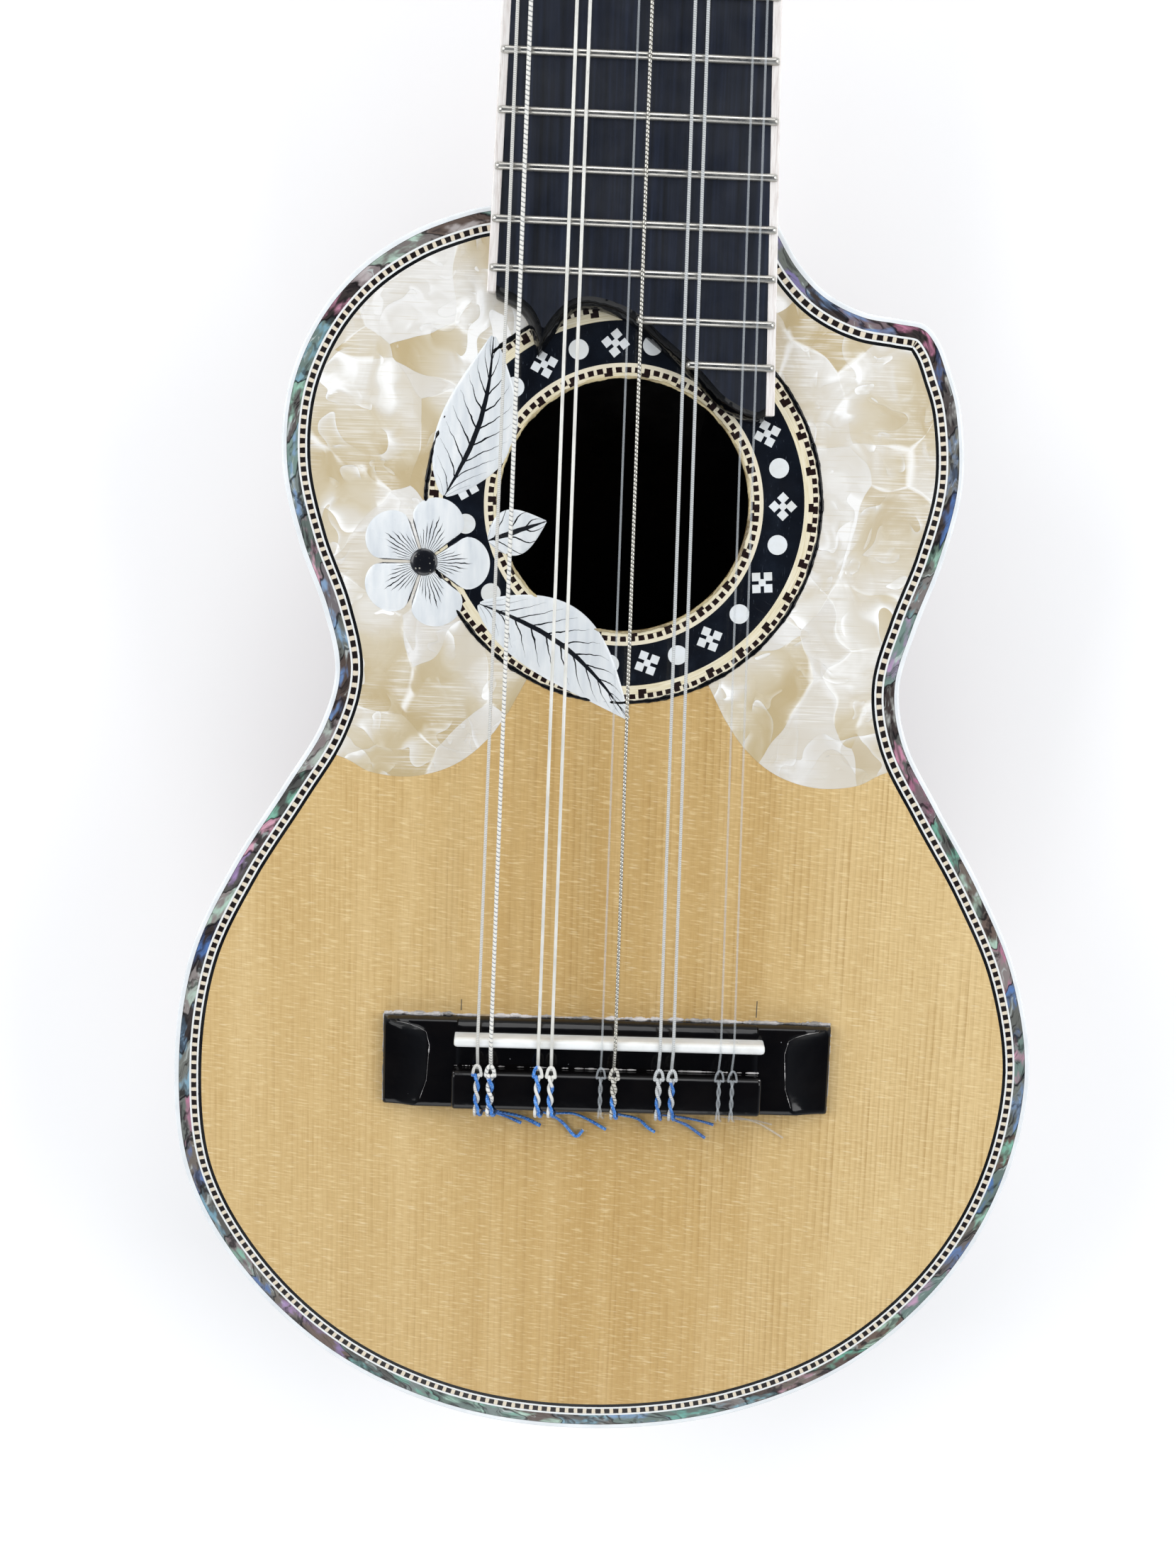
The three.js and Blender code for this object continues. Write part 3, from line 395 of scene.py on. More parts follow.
@dataclass
class Datum:
    """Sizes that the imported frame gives, in millimetres from the saddle line and the soundboard's face.

    Args:
        origin: Place of the saddle line's middle on the soundboard's face, in metres in the row frame.
        half_width: Half the width of the body.
        tail: Place of the body's tail along the strings.
        joint: Place where the body meets the neck.
        scale: Distance from the saddle to the nut.
        depth: Height of the body from its rest to the soundboard's face.
        hole: Place of the sound hole's middle along the strings.
        nut_half: Half the width of the nut.
        set_back: How far the saddle stands behind the line that the frets are counted from.
    """

    origin: Array
    half_width: float
    tail: float
    joint: float
    scale: float
    depth: float
    hole: float
    nut_half: float
    set_back: float = 1.0

    @classmethod
    def read(cls) -> Datum:
        """Read the sizes from the frame's nodes."""
        saddle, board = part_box("saddle"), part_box("soundboard")
        origin = np.array([0.0, (saddle[0][1] + saddle[1][1]) / 2, board[1][2]])
        edge, nut, rosette = (
            (np.array(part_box(node)) - origin) / MM for node in ("edge_binding", "nut", "rosette")
        )
        (_, tail, _), (half_width, joint, _) = edge
        return cls(
            origin=origin, half_width=half_width, tail=tail, joint=joint, scale=nut[0][1],
            depth=origin[2] / MM, hole=rosette[:, 1].mean(), nut_half=nut[1][0],
        )

    @property
    def length(self) -> float:
        """Length of the body."""
        return self.joint - self.tail

    @property
    def octave(self) -> float:
        """Place of the fret that halves the strings."""
        return self.scale / 2


@dataclass
class Workshop:
    """Makes pieces and puts them on their bodies.

    Args:
        datum: The frame's sizes.
        finishes: Materials by name.
    """

    datum: Datum
    frame: dict
    finishes: dict[str, bpy.types.Material] = field(default_factory=dict)

    def mesh(self, name: str, shape: Shape) -> bpy.types.Mesh:
        """Mesh of a shape, in metres in the row frame.

        Args:
            name: Its name.
            shape: The shape.

        Returns:
            The mesh.
        """
        mesh = bpy.data.meshes.new(name)
        counts = np.concatenate([np.full(len(part), part.shape[1]) for part in shape.faces])
        corners = np.concatenate([part.ravel() for part in shape.faces])
        mesh.vertices.add(len(shape.points))
        mesh.vertices.foreach_set("co", (shape.points * MM + self.datum.origin).astype(np.float32).ravel())
        mesh.loops.add(len(corners))
        mesh.loops.foreach_set("vertex_index", corners.astype(np.int32))
        mesh.polygons.add(len(counts))
        starts = np.cumsum(counts) - counts
        mesh.polygons.foreach_set("loop_start", starts.astype(np.int32))
        mesh.update(calc_edges=True)
        spots = np.concatenate([part.reshape(-1, 2) for part in shape.lay])
        mesh.uv_layers.new(name=LAY).uv.foreach_set("vector", spots.astype(np.float32).ravel())
        mesh.validate()
        return mesh

    @staticmethod
    def weld(mesh: bpy.types.Mesh, sharp: float) -> None:
        """Merge a mesh's doubled points, turn its faces outwards and shade it smooth but for sharp edges.

        Args:
            mesh: The mesh.
            sharp: Edges that turn by more than these degrees are sharp.
        """
        form = bmesh.new()
        form.from_mesh(mesh)
        bmesh.ops.remove_doubles(form, verts=form.verts, dist=MERGE_WITHIN)
        bmesh.ops.dissolve_degenerate(form, edges=form.edges, dist=LEAST_EDGE)
        bmesh.ops.recalc_face_normals(form, faces=form.faces)
        form.to_mesh(mesh)
        form.free()
        mesh.shade_smooth()
        mesh.set_sharp_from_angle(angle=math.radians(sharp))

    def piece(
        self, name: str, shape: Shape | str, finish: str, slot: str, *, body: str = "instrument",
        replaces: Sequence[str] = (), bevel: float = 0, sharp: float = 35,
    ) -> None:
        """Make one closed piece of the instrument and put it on its body.

        Args:
            name: Name of the piece.
            shape: Its shape, or the CAD node whose merged copy it is.
            finish: Name of its finish.
            slot: The record's material slot that it belongs to. Not used.
            body: Body that it rides on.
            replaces: CAD nodes that it stands for.
            bevel: Width of its rounded edges in millimetres, or 0 for none.
            sharp: Edges that turn by more than these degrees stay sharp.
        """
        own = isinstance(shape, Shape)
        mesh = self.mesh(name, shape) if own else self.frame["nodes"][shape].data.copy()
        self.weld(mesh, sharp)
        mesh.materials.clear()
        mesh.materials.append(self.finishes[finish])
        item = bpy.data.objects.new(name, mesh)
        bpy.context.scene.collection.objects.link(item)
        if bevel:
            rounding = item.modifiers.new("rounding", "BEVEL")
            rounding.width = bevel * MM
            rounding.segments = BEVEL_STEPS
            rounding.limit_method = "ANGLE"
            rounding.angle_limit = BEVEL_FROM
            rounding.harden_normals = True
        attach(item, body)
        if replaces:
            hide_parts(*replaces)
        log.info("%s rides on %s", item.name, body)

    def dress(self, node: str, finish: str) -> None:
        """Give a carried-over CAD node its finish."""
        materials = self.frame["nodes"][node].data.materials
        materials.clear()
        materials.append(self.finishes[finish])


@dataclass
class Part:
    """Sub-assembly.

    Args:
        shop: The workshop that makes its pieces and knows the frame's sizes.
    """

    shop: Workshop

    @property
    def datum(self) -> Datum:
        """The frame's sizes."""
        return self.shop.datum


# Node trees


def hue(code: str) -> tuple[float, float, float, float]:
    """Linear colour of a six-digit screen colour."""
    parts = [int(code[k : k + 2], 16) / 255 for k in (0, 2, 4)]
    linear = [part / 12.92 if part < 0.04045 else ((part + 0.055) / 1.055) ** 2.4 for part in parts]
    return (*linear, 1.0)


@dataclass(frozen=True)
class Wire:
    """A node's output, reckoned with like a number or a vector.

    Args:
        graph: The graph that it lies in.
        socket: The output.
    """

    graph: Graph
    socket: bpy.types.NodeSocket

    def calc(self, operation: str, *others: Number) -> Wire:
        """Result of an operation on this number and others."""
        return self.graph.calc(operation, self, *others)

    def __add__(self, other: Number) -> Wire:
        """Sum."""
        return self.calc("ADD", other)

    def __radd__(self, other: float) -> Wire:
        """Sum."""
        return self + other

    def __sub__(self, other: Number) -> Wire:
        """Difference."""
        return self.calc("SUBTRACT", other)

    def __rsub__(self, other: float) -> Wire:
        """Difference from a number."""
        return self.graph.calc("SUBTRACT", other, self)

    def __mul__(self, other: Number) -> Wire:
        """Product."""
        return self.calc("MULTIPLY", other)

    def __rmul__(self, other: float) -> Wire:
        """Product."""
        return self * other

    def __truediv__(self, other: Number) -> Wire:
        """Quotient."""
        return self.calc("DIVIDE", other)

    def __lt__(self, other: Number) -> Wire:
        """One where this is the lesser, zero elsewhere."""
        return self.calc("LESS_THAN", other)

    def __gt__(self, other: Number) -> Wire:
        """One where this is the greater, zero elsewhere."""
        return self.calc("GREATER_THAN", other)

    def __abs__(self) -> Wire:
        """Size without the sign."""
        return self.calc("ABSOLUTE")

    def vector(self, operation: str, other: Wire | Sequence[float]) -> Wire:
        """Result of an operation on this vector and another."""
        return self.graph.add("VectorMath", {0: self, 1: other}, operation=operation)[0]

    def scaled(self, *scale: float) -> Wire:
        """Vector with each part multiplied."""
        return self.vector("MULTIPLY", scale)

    def shifted(self, other: Wire | Sequence[float]) -> Wire:
        """Sum of this vector and another."""
        return self.vector("ADD", other)

    def parts(self) -> list[Wire]:
        """The three numbers of a vector."""
        out = self.graph.add("SeparateXYZ", {0: self})
        return [out[k] for k in range(3)]

    def spread(self, low: Number, high: Number, start: float = 0, end: float = 1) -> Wire:
        """Smooth step from start to end as this number passes from low to high."""
        inputs = {"Value": self, "From Min": low, "From Max": high, "To Min": start, "To Max": end}
        return self.graph.add("MapRange", inputs, interpolation_type="SMOOTHSTEP")[0]

    def band(self, near: Number, far: Number) -> Wire:
        """One where this number lies between two others, zero elsewhere."""
        return (self > near) * (self < far)

    def ramp(self, *stops: tuple[float, str]) -> Wire:
        """Colour that runs through stops of (place, screen colour)."""
        node = self.graph.node("ValToRGB", {0: self})
        marks = node.color_ramp.elements
        while len(marks) < len(stops):
            marks.new(0.5)
        for mark, (spot, code) in zip(marks, stops):
            mark.position = spot
            mark.color = hue(code)
        return Wire(self.graph, node.outputs[0])

    def bump(self, depth: float, normal: Wire | None = None) -> Wire:
        """Normal of a surface that rises by depth millimetres where this number is 1."""
        under = {"Normal": normal} if normal else {}
        return self.graph.add("Bump", {"Height": self, "Distance": depth * MM, "Strength": 1.0, **under})[0]


Number = float | Wire
Outputs = dict[int | str, Wire]


class Graph:
    """Lays nodes into a tree and joins them."""

    tree: bpy.types.NodeTree

    def fill(self, socket: bpy.types.NodeSocket, value: Number | str | Sequence[float]) -> None:
        """Lead a wire to an input, or set its value.

        Args:
            socket: The input.
            value: The wire or the value. A text is a screen colour.
        """
        if isinstance(value, Wire):
            self.tree.links.new(value.socket, socket)
        else:
            socket.default_value = hue(value) if isinstance(value, str) else value

    def node(self, kind: str, inputs: dict, **settings: object) -> bpy.types.Node:
        """Add a node.

        Args:
            kind: Its type without the leading words.
            inputs: A value or a wire for each input, by name or number.
            **settings: Its other settings.

        Returns:
            The node.
        """
        node = self.tree.nodes.new("ShaderNode" + kind)
        for name, value in settings.items():
            setattr(node, name, value)
        for key, value in inputs.items():
            self.fill(node.inputs[key], value)
        return node

    def add(self, kind: str, inputs: dict | None = None, **settings: object) -> Outputs:
        """Outputs of a new node, by number and by name."""
        outputs = self.node(kind, inputs or {}, **settings).outputs
        return {key: Wire(self, out) for k, out in enumerate(outputs) for key in (k, out.name)}

    def calc(self, operation: str, *values: Number) -> Wire:
        """Result of an operation on numbers."""
        return self.add("Math", dict(enumerate(values)), operation=operation)[0]

    def joined(self, *parts: Number) -> Wire:
        """Vector of up to three numbers."""
        return self.add("CombineXYZ", dict(enumerate(parts)))[0]

    def place(self) -> Wire:
        """Place on the object in millimetres."""
        return self.add("TexCoord")["Object"].scaled(1000, 1000, 1000)

    def lay(self) -> list[Wire]:
        """Way along and across the piece's own pattern, in millimetres."""
        return self.add("UVMap", uv_map=LAY)[0].parts()[:2]

    def noise(
        self, place: Wire | tuple[Number, ...], scale: float = 1, detail: float = 2, rough: float = 0.5,
        twist: float = 0,
    ) -> Wire:
        """Cloudy value between 0 and 1 with features of about one over the scale."""
        place = self.joined(*place) if isinstance(place, tuple) else place
        inputs = {"Vector": place, "Scale": scale, "Detail": detail, "Roughness": rough, "Distortion": twist}
        return self.add("TexNoise", inputs)[0]

    def clouds(self, place: Wire, scale: float, reach: float) -> Wire:
        """Wandering vector whose parts stay within about the reach."""
        colour = self.add("TexNoise", {"Vector": place, "Scale": scale})[1]
        return colour.vector("SUBTRACT", (0.5, 0.5, 0.5)).scaled(2 * reach, 2 * reach, 2 * reach)

    def cells(self, feature: str = "F1", **inputs: Number) -> Outputs:
        """Voronoi cells, in one dimension where the only place given is W."""
        size = "1D" if "W" in inputs else "3D"
        return self.add("TexVoronoi", {"Scale": 1.0, **inputs}, voronoi_dimensions=size, feature=feature)

    def layers(self, base: Wire | str, *coats: tuple[Number, Wire | str]) -> Wire:
        """Base colour under coats of (mask, colour), the last one uppermost."""
        for mask, colour in coats:
            base = self.add("Mix", {0: mask, 6: base, 7: colour}, data_type="RGBA")[2]
        return base

    def use(self, name: str, **inputs: Number) -> Outputs:
        """Outputs of a shared group, placed with its own values."""
        return self.add("Group", inputs, node_tree=bpy.data.node_groups[name])


class Kind(Enum):
    """Socket types of the shared groups."""

    NUMBER = "NodeSocketFloat"
    VECTOR = "NodeSocketVector"


class Effect(Graph):
    """Shader group that several finishes share, with its inputs and their defaults."""

    name: str
    inputs: dict[str, float | tuple[float, float, float]]
    given: list[Wire]

    def build(self) -> None:
        """Make the group and its inputs, and lay its nodes."""
        self.tree = bpy.data.node_groups.new(self.name, "ShaderNodeTree")
        for key, value in self.inputs.items():
            kind = Kind.VECTOR if isinstance(value, tuple) else Kind.NUMBER
            socket = self.tree.interface.new_socket(name=key, in_out="INPUT", socket_type=kind.value)
            socket.default_value = value
        source = self.tree.nodes.new("NodeGroupInput")
        self.given = [Wire(self, source.outputs[key]) for key in self.inputs]
        self.draw()

    def draw(self) -> None:
        """Lay the nodes between the inputs given and the outputs."""
        raise NotImplementedError

    def give(self, **results: Wire) -> None:
        """Lead results to outputs of their names."""
        for key in results:
            self.tree.interface.new_socket(name=key, in_out="OUTPUT", socket_type=Kind.NUMBER.value)
        sink = self.tree.nodes.new("NodeGroupOutput")
        for key, value in results.items():
            self.fill(sink.inputs[key], value)


class Grain(Effect):
    """Year rings: a saw-tooth across the wood, its spacing and strength wandering slowly along it."""

    name = "wood_grain"
    inputs = {"Across": 0.0, "Along": 0.0, "Pitch": 1.1, "Waver": 1.0}

    def draw(self) -> None:
        """Lay the rings, each of its own strength, a slow shade and the pores."""
        across, along, pitch, waver = self.given
        across = across + (self.noise((across * 0.03, along * 0.005)) - 0.5) * waver
        place = across / pitch + 0.9 * (across * 0.19).calc("SINE")
        share = place.calc("FRACT")
        ring_value = self.add("TexWhiteNoise", {"W": place.calc("FLOOR")}, noise_dimensions="1D")[0]
        streak = self.noise((across * 2.4, along * 0.09), 1, 3).spread(0.2, 0.6, 0.45, 1)
        pores = self.noise((across * 5.5, along * 0.35))
        self.give(
            Lines=share.spread(0.3, 0.93) * share.spread(1.0, 0.94) * (0.3 + 0.7 * ring_value) * streak,
            Shade=self.noise((across * 0.1, along * 0.006), 1, 3),
            Pores=pores.spread(0.6, 0.78),
        )


class Shell(Effect):
    """Folded shell: bent Voronoi cells, each with its own tone and a sloping painted shade, and creases
    between them.
    """

    name = "folded_shell"
    inputs = {"Place": (0.0, 0.0, 0.0), "Bend": 0.35}

    def draw(self) -> None:
        """Lay the cells."""
        place, bend = self.given
        bent = self.add("VectorMath", {0: self.clouds(place, 0.9, 1.0), "Scale": bend}, operation="SCALE")[0]
        place = place.shifted(bent)
        cell = self.cells(Vector=place)
        tone, turn, _ = cell["Color"].parts()
        x, y, _ = place.vector("SUBTRACT", cell["Position"]).parts()
        turn = turn * (2 * math.pi)
        edge = self.cells("DISTANCE_TO_EDGE", Vector=place)["Distance"]
        width = self.noise(place, 1.7, 1).spread(0.35, 0.7, 0.004, 0.055)
        # Slope across each cell, which the shells paint as shade.
        slope = x * turn.calc("COSINE") + y * turn.calc("SINE")
        self.give(Tone=tone, Slope=slope.spread(-0.5, 0.5), Crease=edge.spread(width, 0.0))


class Row(Effect):
    """Row of inlaid blocks: between two distances across, a share of each pitch, and each so many pitches."""

    name = "inlay_row"
    inputs = {"Along": 0.0, "Across": 0.0, "Near": 0.0, "Far": 1.0, "Pitch": 2.1, "Duty": 0.6, "Every": 1.0}

    def draw(self) -> None:
        """Lay the blocks, their ends a little ragged."""
        along, across, near, far, pitch, duty, every = self.given
        ragged = (self.noise((along, across), 1.3, 1) - 0.5) * 0.24
        count = (along + ragged) / pitch
        chosen = count.calc("FLOOR").calc("MODULO", every) < 0.5
        self.give(Mask=(count.calc("FRACT") < duty) * chosen * (across + ragged * 0.4).band(near, far))


class Specks(Effect):
    """Dust: small dots in some of the cells, about one over the density apart."""

    name = "dust_specks"
    inputs = {"Place": (0.0, 0.0, 0.0), "Density": 0.2, "Size": 0.06, "Share": 0.4}

    def draw(self) -> None:
        """Lay the dots."""
        place, density, size, share = self.given
        cell = self.cells(Vector=place, Scale=density)
        red, green, _ = cell["Color"].parts()
        self.give(Mask=cell["Distance"].spread(size * (0.3 + green), 0.0) * (red < share))


class Polish(Effect):
    """Hand polish: faint smears that change the roughness, the lacquer's slow waves, and scratches."""

    name = "hand_polish"
    inputs = {"Place": (0.0, 0.0, 0.0), "Low": 0.1, "High": 0.3}

    def draw(self) -> None:
        """Lay the smears, the waves and the scratches."""
        place, low, high = self.given
        smear = self.noise(place, 0.07, 4, 0.6)
        mix = self.add("MapRange", {"Value": smear, "From Min": 0.3, "From Max": 0.7})[0]
        turned_place = self.add("VectorRotate", {"Vector": place, "Angle": 0.5}, rotation_type="Z_AXIS")[0]
        lines = self.noise(turned_place.scaled(0.15, 6.0, 1.0), 1, 1)
        self.give(
            Roughness=low + (high - low) * mix,
            Waves=self.noise(place, 0.22, 2),
            Scratches=lines.spread(0.7, 0.74) * self.noise(place, 0.11, 1).spread(0.45, 0.6),
        )


class Coil(Effect):
    """Wound wire: round turns along a string, slanted by one pitch a turn, and a mask of the gaps between
    them for painted shade.
    """

    name = "wound_wire"
    inputs = {"Along": 0.0, "Across": 0.0, "Pitch": 0.5, "Round": 2.5}

    def draw(self) -> None:
        """Lay the turns: the root of one less the square of the distance from a turn's middle."""
        along, across, pitch, girth = self.given
        centred = abs((along / pitch + across / girth).calc("FRACT") * 2 - 1)
        self.give(Height=(1 - centred * centred).calc("SQRT"), Gap=centred.spread(0.62, 0.98))


# Finishes


@dataclass
class Finish(Graph):
    """Material, its nodes laid over a piece's place or its own lay, both in millimetres."""

    def build(self, name: str, shop: Workshop) -> None:
        """Make the material, lay its nodes and hand it to the workshop.

        Args:
            name: Its name.
            shop: The workshop.
        """
        material = shop.finishes[name] = bpy.data.materials.new(name)
        material.use_nodes = True
        self.tree = material.node_tree
        self.paint()

    def paint(self) -> None:
        """Lay the nodes."""
        raise NotImplementedError

    def set(self, **values: object) -> None:
        """Set inputs of the main shader, named with underscores for blanks, to values or wires."""
        shader = self.tree.nodes["Principled BSDF"]
        for key, value in values.items():
            self.fill(shader.inputs[key.replace("_", " ")], value)

    def polish(
        self, colour: Wire, coat: tuple[float, float], rough: tuple[float, float], wave: float = 0.03,
        scratch: float = 0, normal: Wire | None = None, **others: object,
    ) -> None:
        """Give the shader a colour under hand polish and a clear coat.

        Args:
            colour: Its colour.
            coat: Weight and roughness of the coat.
            rough: Roughness where it is best polished and where it is worn.
            wave: Height of slow waves in millimetres.
            scratch: Depth of scratches in millimetres.
            normal: Normal under the waves.
            **others: Other inputs of the shader.
        """
        polish = self.use("hand_polish", Place=self.place(), Low=rough[0], High=rough[1])
        bent = polish["Waves"].bump(wave, normal)
        if scratch:
            bent = polish["Scratches"].bump(-scratch, bent)
        self.set(
            Base_Color=colour, Coat_Weight=coat[0], Coat_Roughness=coat[1], Roughness=polish["Roughness"],
            Normal=bent, **others,
        )


@dataclass
class Even(Finish):
    """Even finish.

    Args:
        colour: Its main screen colour.
        drift: Colour that it drifts to in soft patches.
        low: Roughness where it is best polished.
        high: Roughness where it is worn.
        metal: 1 for a metal.
        coat: Strength of a clear coat.
        wave: Height of slow waves in millimetres.
        scratch: Depth of scratches in millimetres.
        glow: Share of light that passes under the surface.
        dust: Share of white specks on it: dust, and on black lacquer partly painted glints.
        mirror: Strength of its reflections.
    """

    colour: str
    drift: str
    low: float
    high: float
    metal: float = 0
    coat: float = 0
    wave: float = 0.03
    scratch: float = 0
    glow: float = 0
    dust: float = 0
    mirror: float = 0.5

    def paint(self) -> None:
        """Lay the patches and the white specks, dust and partly painted glints."""
        patches = self.noise(self.place(), 0.12, 4, 0.6).spread(0.35, 0.7)
        colour = self.layers(self.colour, (patches, self.drift))
        # White specks: dust, and on the black lacquer partly painted glints.
        if self.dust:
            specks = self.use("dust_specks", Place=self.place(), Density=0.34, Size=0.05, Share=self.dust)
            colour = self.layers(colour, (specks["Mask"] * 0.8, "b4b8bc"))
        self.polish(
            colour, (self.coat, 0.06), (self.low, self.high), self.wave, self.scratch, Metallic=self.metal,
            Subsurface_Weight=self.glow, Subsurface_Radius=(0.4, 0.35, 0.3), Subsurface_Scale=0.001,
            Specular_IOR_Level=self.mirror,
        )


@dataclass
class Thread(Finish):
    """String, wound or plain.

    Args:
        light: Screen colour of the turns.
        dark: Screen colour of the painted shade in the gaps between them.
        pitch: Distance between turns in millimetres.
        depth: Depth of the gaps in millimetres.
        metal: 1 for a metal winding.
        clear: Share of light that passes through.
        cover: How far it covers what is behind it.
        dyed: Whether blue thread covers it where its lay is positive, as in a knot.
    """

    light: str
    dark: str
    pitch: float
    depth: float
    metal: float = 0
    clear: float = 0
    cover: float = 1
    dyed: bool = False

    def paint(self) -> None:
        """Lay the turns with painted shade in their gaps, and the blue thread."""
        along, across = self.lay()
        coil = self.use("wound_wire", Along=along, Across=across, Pitch=self.pitch, Round=2.5)
        sheen = self.noise((along, across), 0.35, 2)
        # Painted shade in the gaps between turns; plain strings darken in patches of the sheen noise.
        colour = self.layers(self.light, (coil["Gap"] if self.depth else sheen * 0.5, self.dark))
        normal = coil["Height"].bump(self.depth) if self.depth else None
        if self.dyed:
            blue_part = along.spread(-0.3, 0.3)
            left, right = (
                self.use("wound_wire", Along=along, Across=across, Pitch=1.05, Round=girth)
                for girth in (-1.25, 1.25)
            )
            shade = self.noise((along, across), 0.8, 3)
            blue = shade.ramp((0.25, "1f4f9a"), (0.5, "3f86dc"), (0.75, "7fb4ee"))
            blue = self.layers(blue, (left["Gap"] * right["Gap"], "e6eef6"))
            colour = self.layers(colour, (blue_part, blue))
            normal = (blue_part * left["Height"]).bump(0.09, normal)
        self.set(
            Base_Color=colour, Metallic=0 if self.dyed else self.metal, Alpha=self.cover, IOR=1.45,
            Transmission_Weight=0 if self.dyed else self.clear, Roughness=sheen.spread(0.3, 0.7, 0.16, 0.32),
        )
        if normal:
            self.set(Normal=normal)


class Spruce(Finish):
    """Varnished soundboard: broken year rings along the strings, short pale silk flecks across them."""

    def paint(self) -> None:
        """Lay the rings, fine fibres, the silk and the flecks."""
        x, y, _ = self.place().parts()
        wood = self.use("wood_grain", Across=x, Along=y, Pitch=1.45, Waver=3.5)
        outwards = abs(x - 6).spread(12, 70, 0, 0.62) * x.spread(-70, 30, 0.5, 1)
        broken = self.noise((x * 0.06, y * 0.035), 1, 3).spread(0.38, 0.62, 0.3, 1)
        fine = self.noise((x * 3.1, y * 0.12), 1, 3)
        slant = y * 1.7 + x * 0.16
        silk = self.noise((x * 0.3, slant * 1.5), 1, 3)
        spot = self.joined(x * 0.24, slant)
        flecks = self.use("dust_specks", Place=spot, Density=1.0, Size=0.36, Share=0.4)
        colour = self.layers(
            wood["Shade"].ramp((0.25, "bd9a60"), (0.5, "c9a86f"), (0.75, "d4b681")),
            (outwards, "e6cc98"),
            (wood["Lines"] * x.spread(-50, 60, 0.35, 0.62) * broken, "a37f48"),
            (fine.spread(0.45, 0.75, 0, 0.32), "b8925a"),
            (silk.spread(0.52, 0.72, 0, 0.5), "f2dcab"),
            (silk.spread(0.48, 0.26, 0, 0.3), "a9864f"),
            (flecks["Mask"] * 0.4, "faeac4"),
        )
        lines = (1 - wood["Lines"]).bump(0.012)
        self.polish(colour, (0.15, 0.12), (0.24, 0.4), 0.05, 0.003, lines, Specular_IOR_Level=0.3)


class BrownWood(Finish):
    """Dark reddish wood with open pores, as on the neck and the head."""

    def paint(self) -> None:
        """Lay the grain, the pores, and the black: stain on the neck and head, painted shade inside the bowl.
        """
        x, y, z = self.place().parts()
        bent = x + z * 0.7 + self.noise(self.place(), 0.02, 3) * 26
        wood = self.use("wood_grain", Across=bent, Along=y, Pitch=4.4, Waver=5.0)
        colour = self.layers(
            wood["Shade"].ramp((0.3, "3a1a10"), (0.5, "54271a"), (0.72, "6d3823")),
            (wood["Lines"] * 0.7, "27100a"), (wood["Pores"] * 0.6, "1b0c08"), (self.stain_and_shade(), "060608"),
        )
        self.polish(colour, (0.7, 0.1), (0.22, 0.42), 0.12, 0.004, wood["Pores"].bump(-0.05))

    def stain_and_shade(self) -> Wire:
        """Where black stain covers the wood: faintly, in soft patches."""
        return self.noise(self.place(), 0.05, 2).spread(0.6, 0.8, 0, 0.25)


class CarvedWood(BrownWood):
    """The same wood on the carved back, black inside as painted shade."""

    def stain_and_shade(self) -> Wire:
        """Painted shade: black over the wood inside the bowl, where the lay along is under 0."""
        return self.lay()[0] < 0


class Abalone(Finish):
    """Band of shell chips, each of its own tone, with bent folds, painted highlights on their crests, flashes
    of colour and dark cracks.
    """

    def paint(self) -> None:
        """Lay the chips, the folds, the flashes and the cracks."""
        along, across = self.lay()
        place = self.joined(along * 0.13, across * 0.34)
        bent = along + across * 1.3 + self.noise(place) * 11
        chip = bent / 11.5
        tone, tint, _ = self.cells(W=chip)["Color"].parts()
        crack = self.cells("DISTANCE_TO_EDGE", W=chip)["Distance"]
        folds = self.noise((bent * 0.2, across * 0.22), 1, 3, 0.55, 1.4)
        where = self.noise(place.shifted((40.0, 3.0, 0.0)), 1.3).spread(0.46, 0.62)
        flash = tint.ramp(
            (0.1, "5479b4"), (0.28, "8aa9cc"), (0.42, "6cb29b"), (0.55, "b3dcc6"), (0.7, "bf6f93"),
            (0.84, "dfaabb"), (0.95, "8a7cb8"),
        )
        # Folds: dark bands of the shell, and pale crests that are partly its banding and partly painted
        # highlights.
        colour = self.layers(
            tone.ramp(
                (0.05, "3b3432"), (0.2, "6f5f56"), (0.34, "767b75"), (0.46, "4a4240"), (0.6, "7d968e"),
                (0.72, "6f5a62"), (0.84, "918a86"), (0.95, "46403f"),
            ),
            (folds.spread(0.5, 0.36, 0, 0.85), "231f20"),
            (folds.spread(0.6, 0.72, 0, 0.75), "c9d2cf"),
            (where * folds.spread(0.36, 0.62, 0.2, 0.9), flash),
            (crack.spread(0.05, 0.015, 0, 0.8), "151314"),
            (across.spread(1.32, 1.2, 0, 0.7), "2b292a"),
        )
        self.polish(colour, (0.6, 0.05), (0.12, 0.35), 0.05, 0, folds.bump(0.12))


@dataclass
class Chequer(Finish):
    """Purfling: white line, chequered strip, white line and black line, counted from the edge.

    Args:
        strip: Distances from the edge between which the chequered strip lies.
        pitch: Distance between its blocks.
        black: Where the black line begins.
        joint: Half the width of the joints beside the strip.
    """

    strip: tuple[float, float] = (4.1, 5.33)
    pitch: float = 2.29
    black: float = 5.82
    joint: float = 0.07

    def paint(self) -> None:
        """Lay the strip, its blocks and joints, and the black line."""
        along, across = self.lay()
        near, far = self.strip
        row = self.use(
            "inlay_row", Along=along, Across=across, Near=near, Far=far, Pitch=self.pitch, Duty=0.6
        )
        edge = across + self.noise((along, across), 0.6) * 0.12
        joints = abs(across - near).spread(self.joint, 0.0) + abs(across - far).spread(self.joint, 0.0)
        colour = self.layers(
            "eceeec", (across.band(near, far), "e0d4be"), (row["Mask"], "1a1210"),
            (edge > self.black, "08090b"), (joints * 0.65, "77706a"),
        )
        self.polish(colour, (0.5, 0.08), (0.2, 0.4))


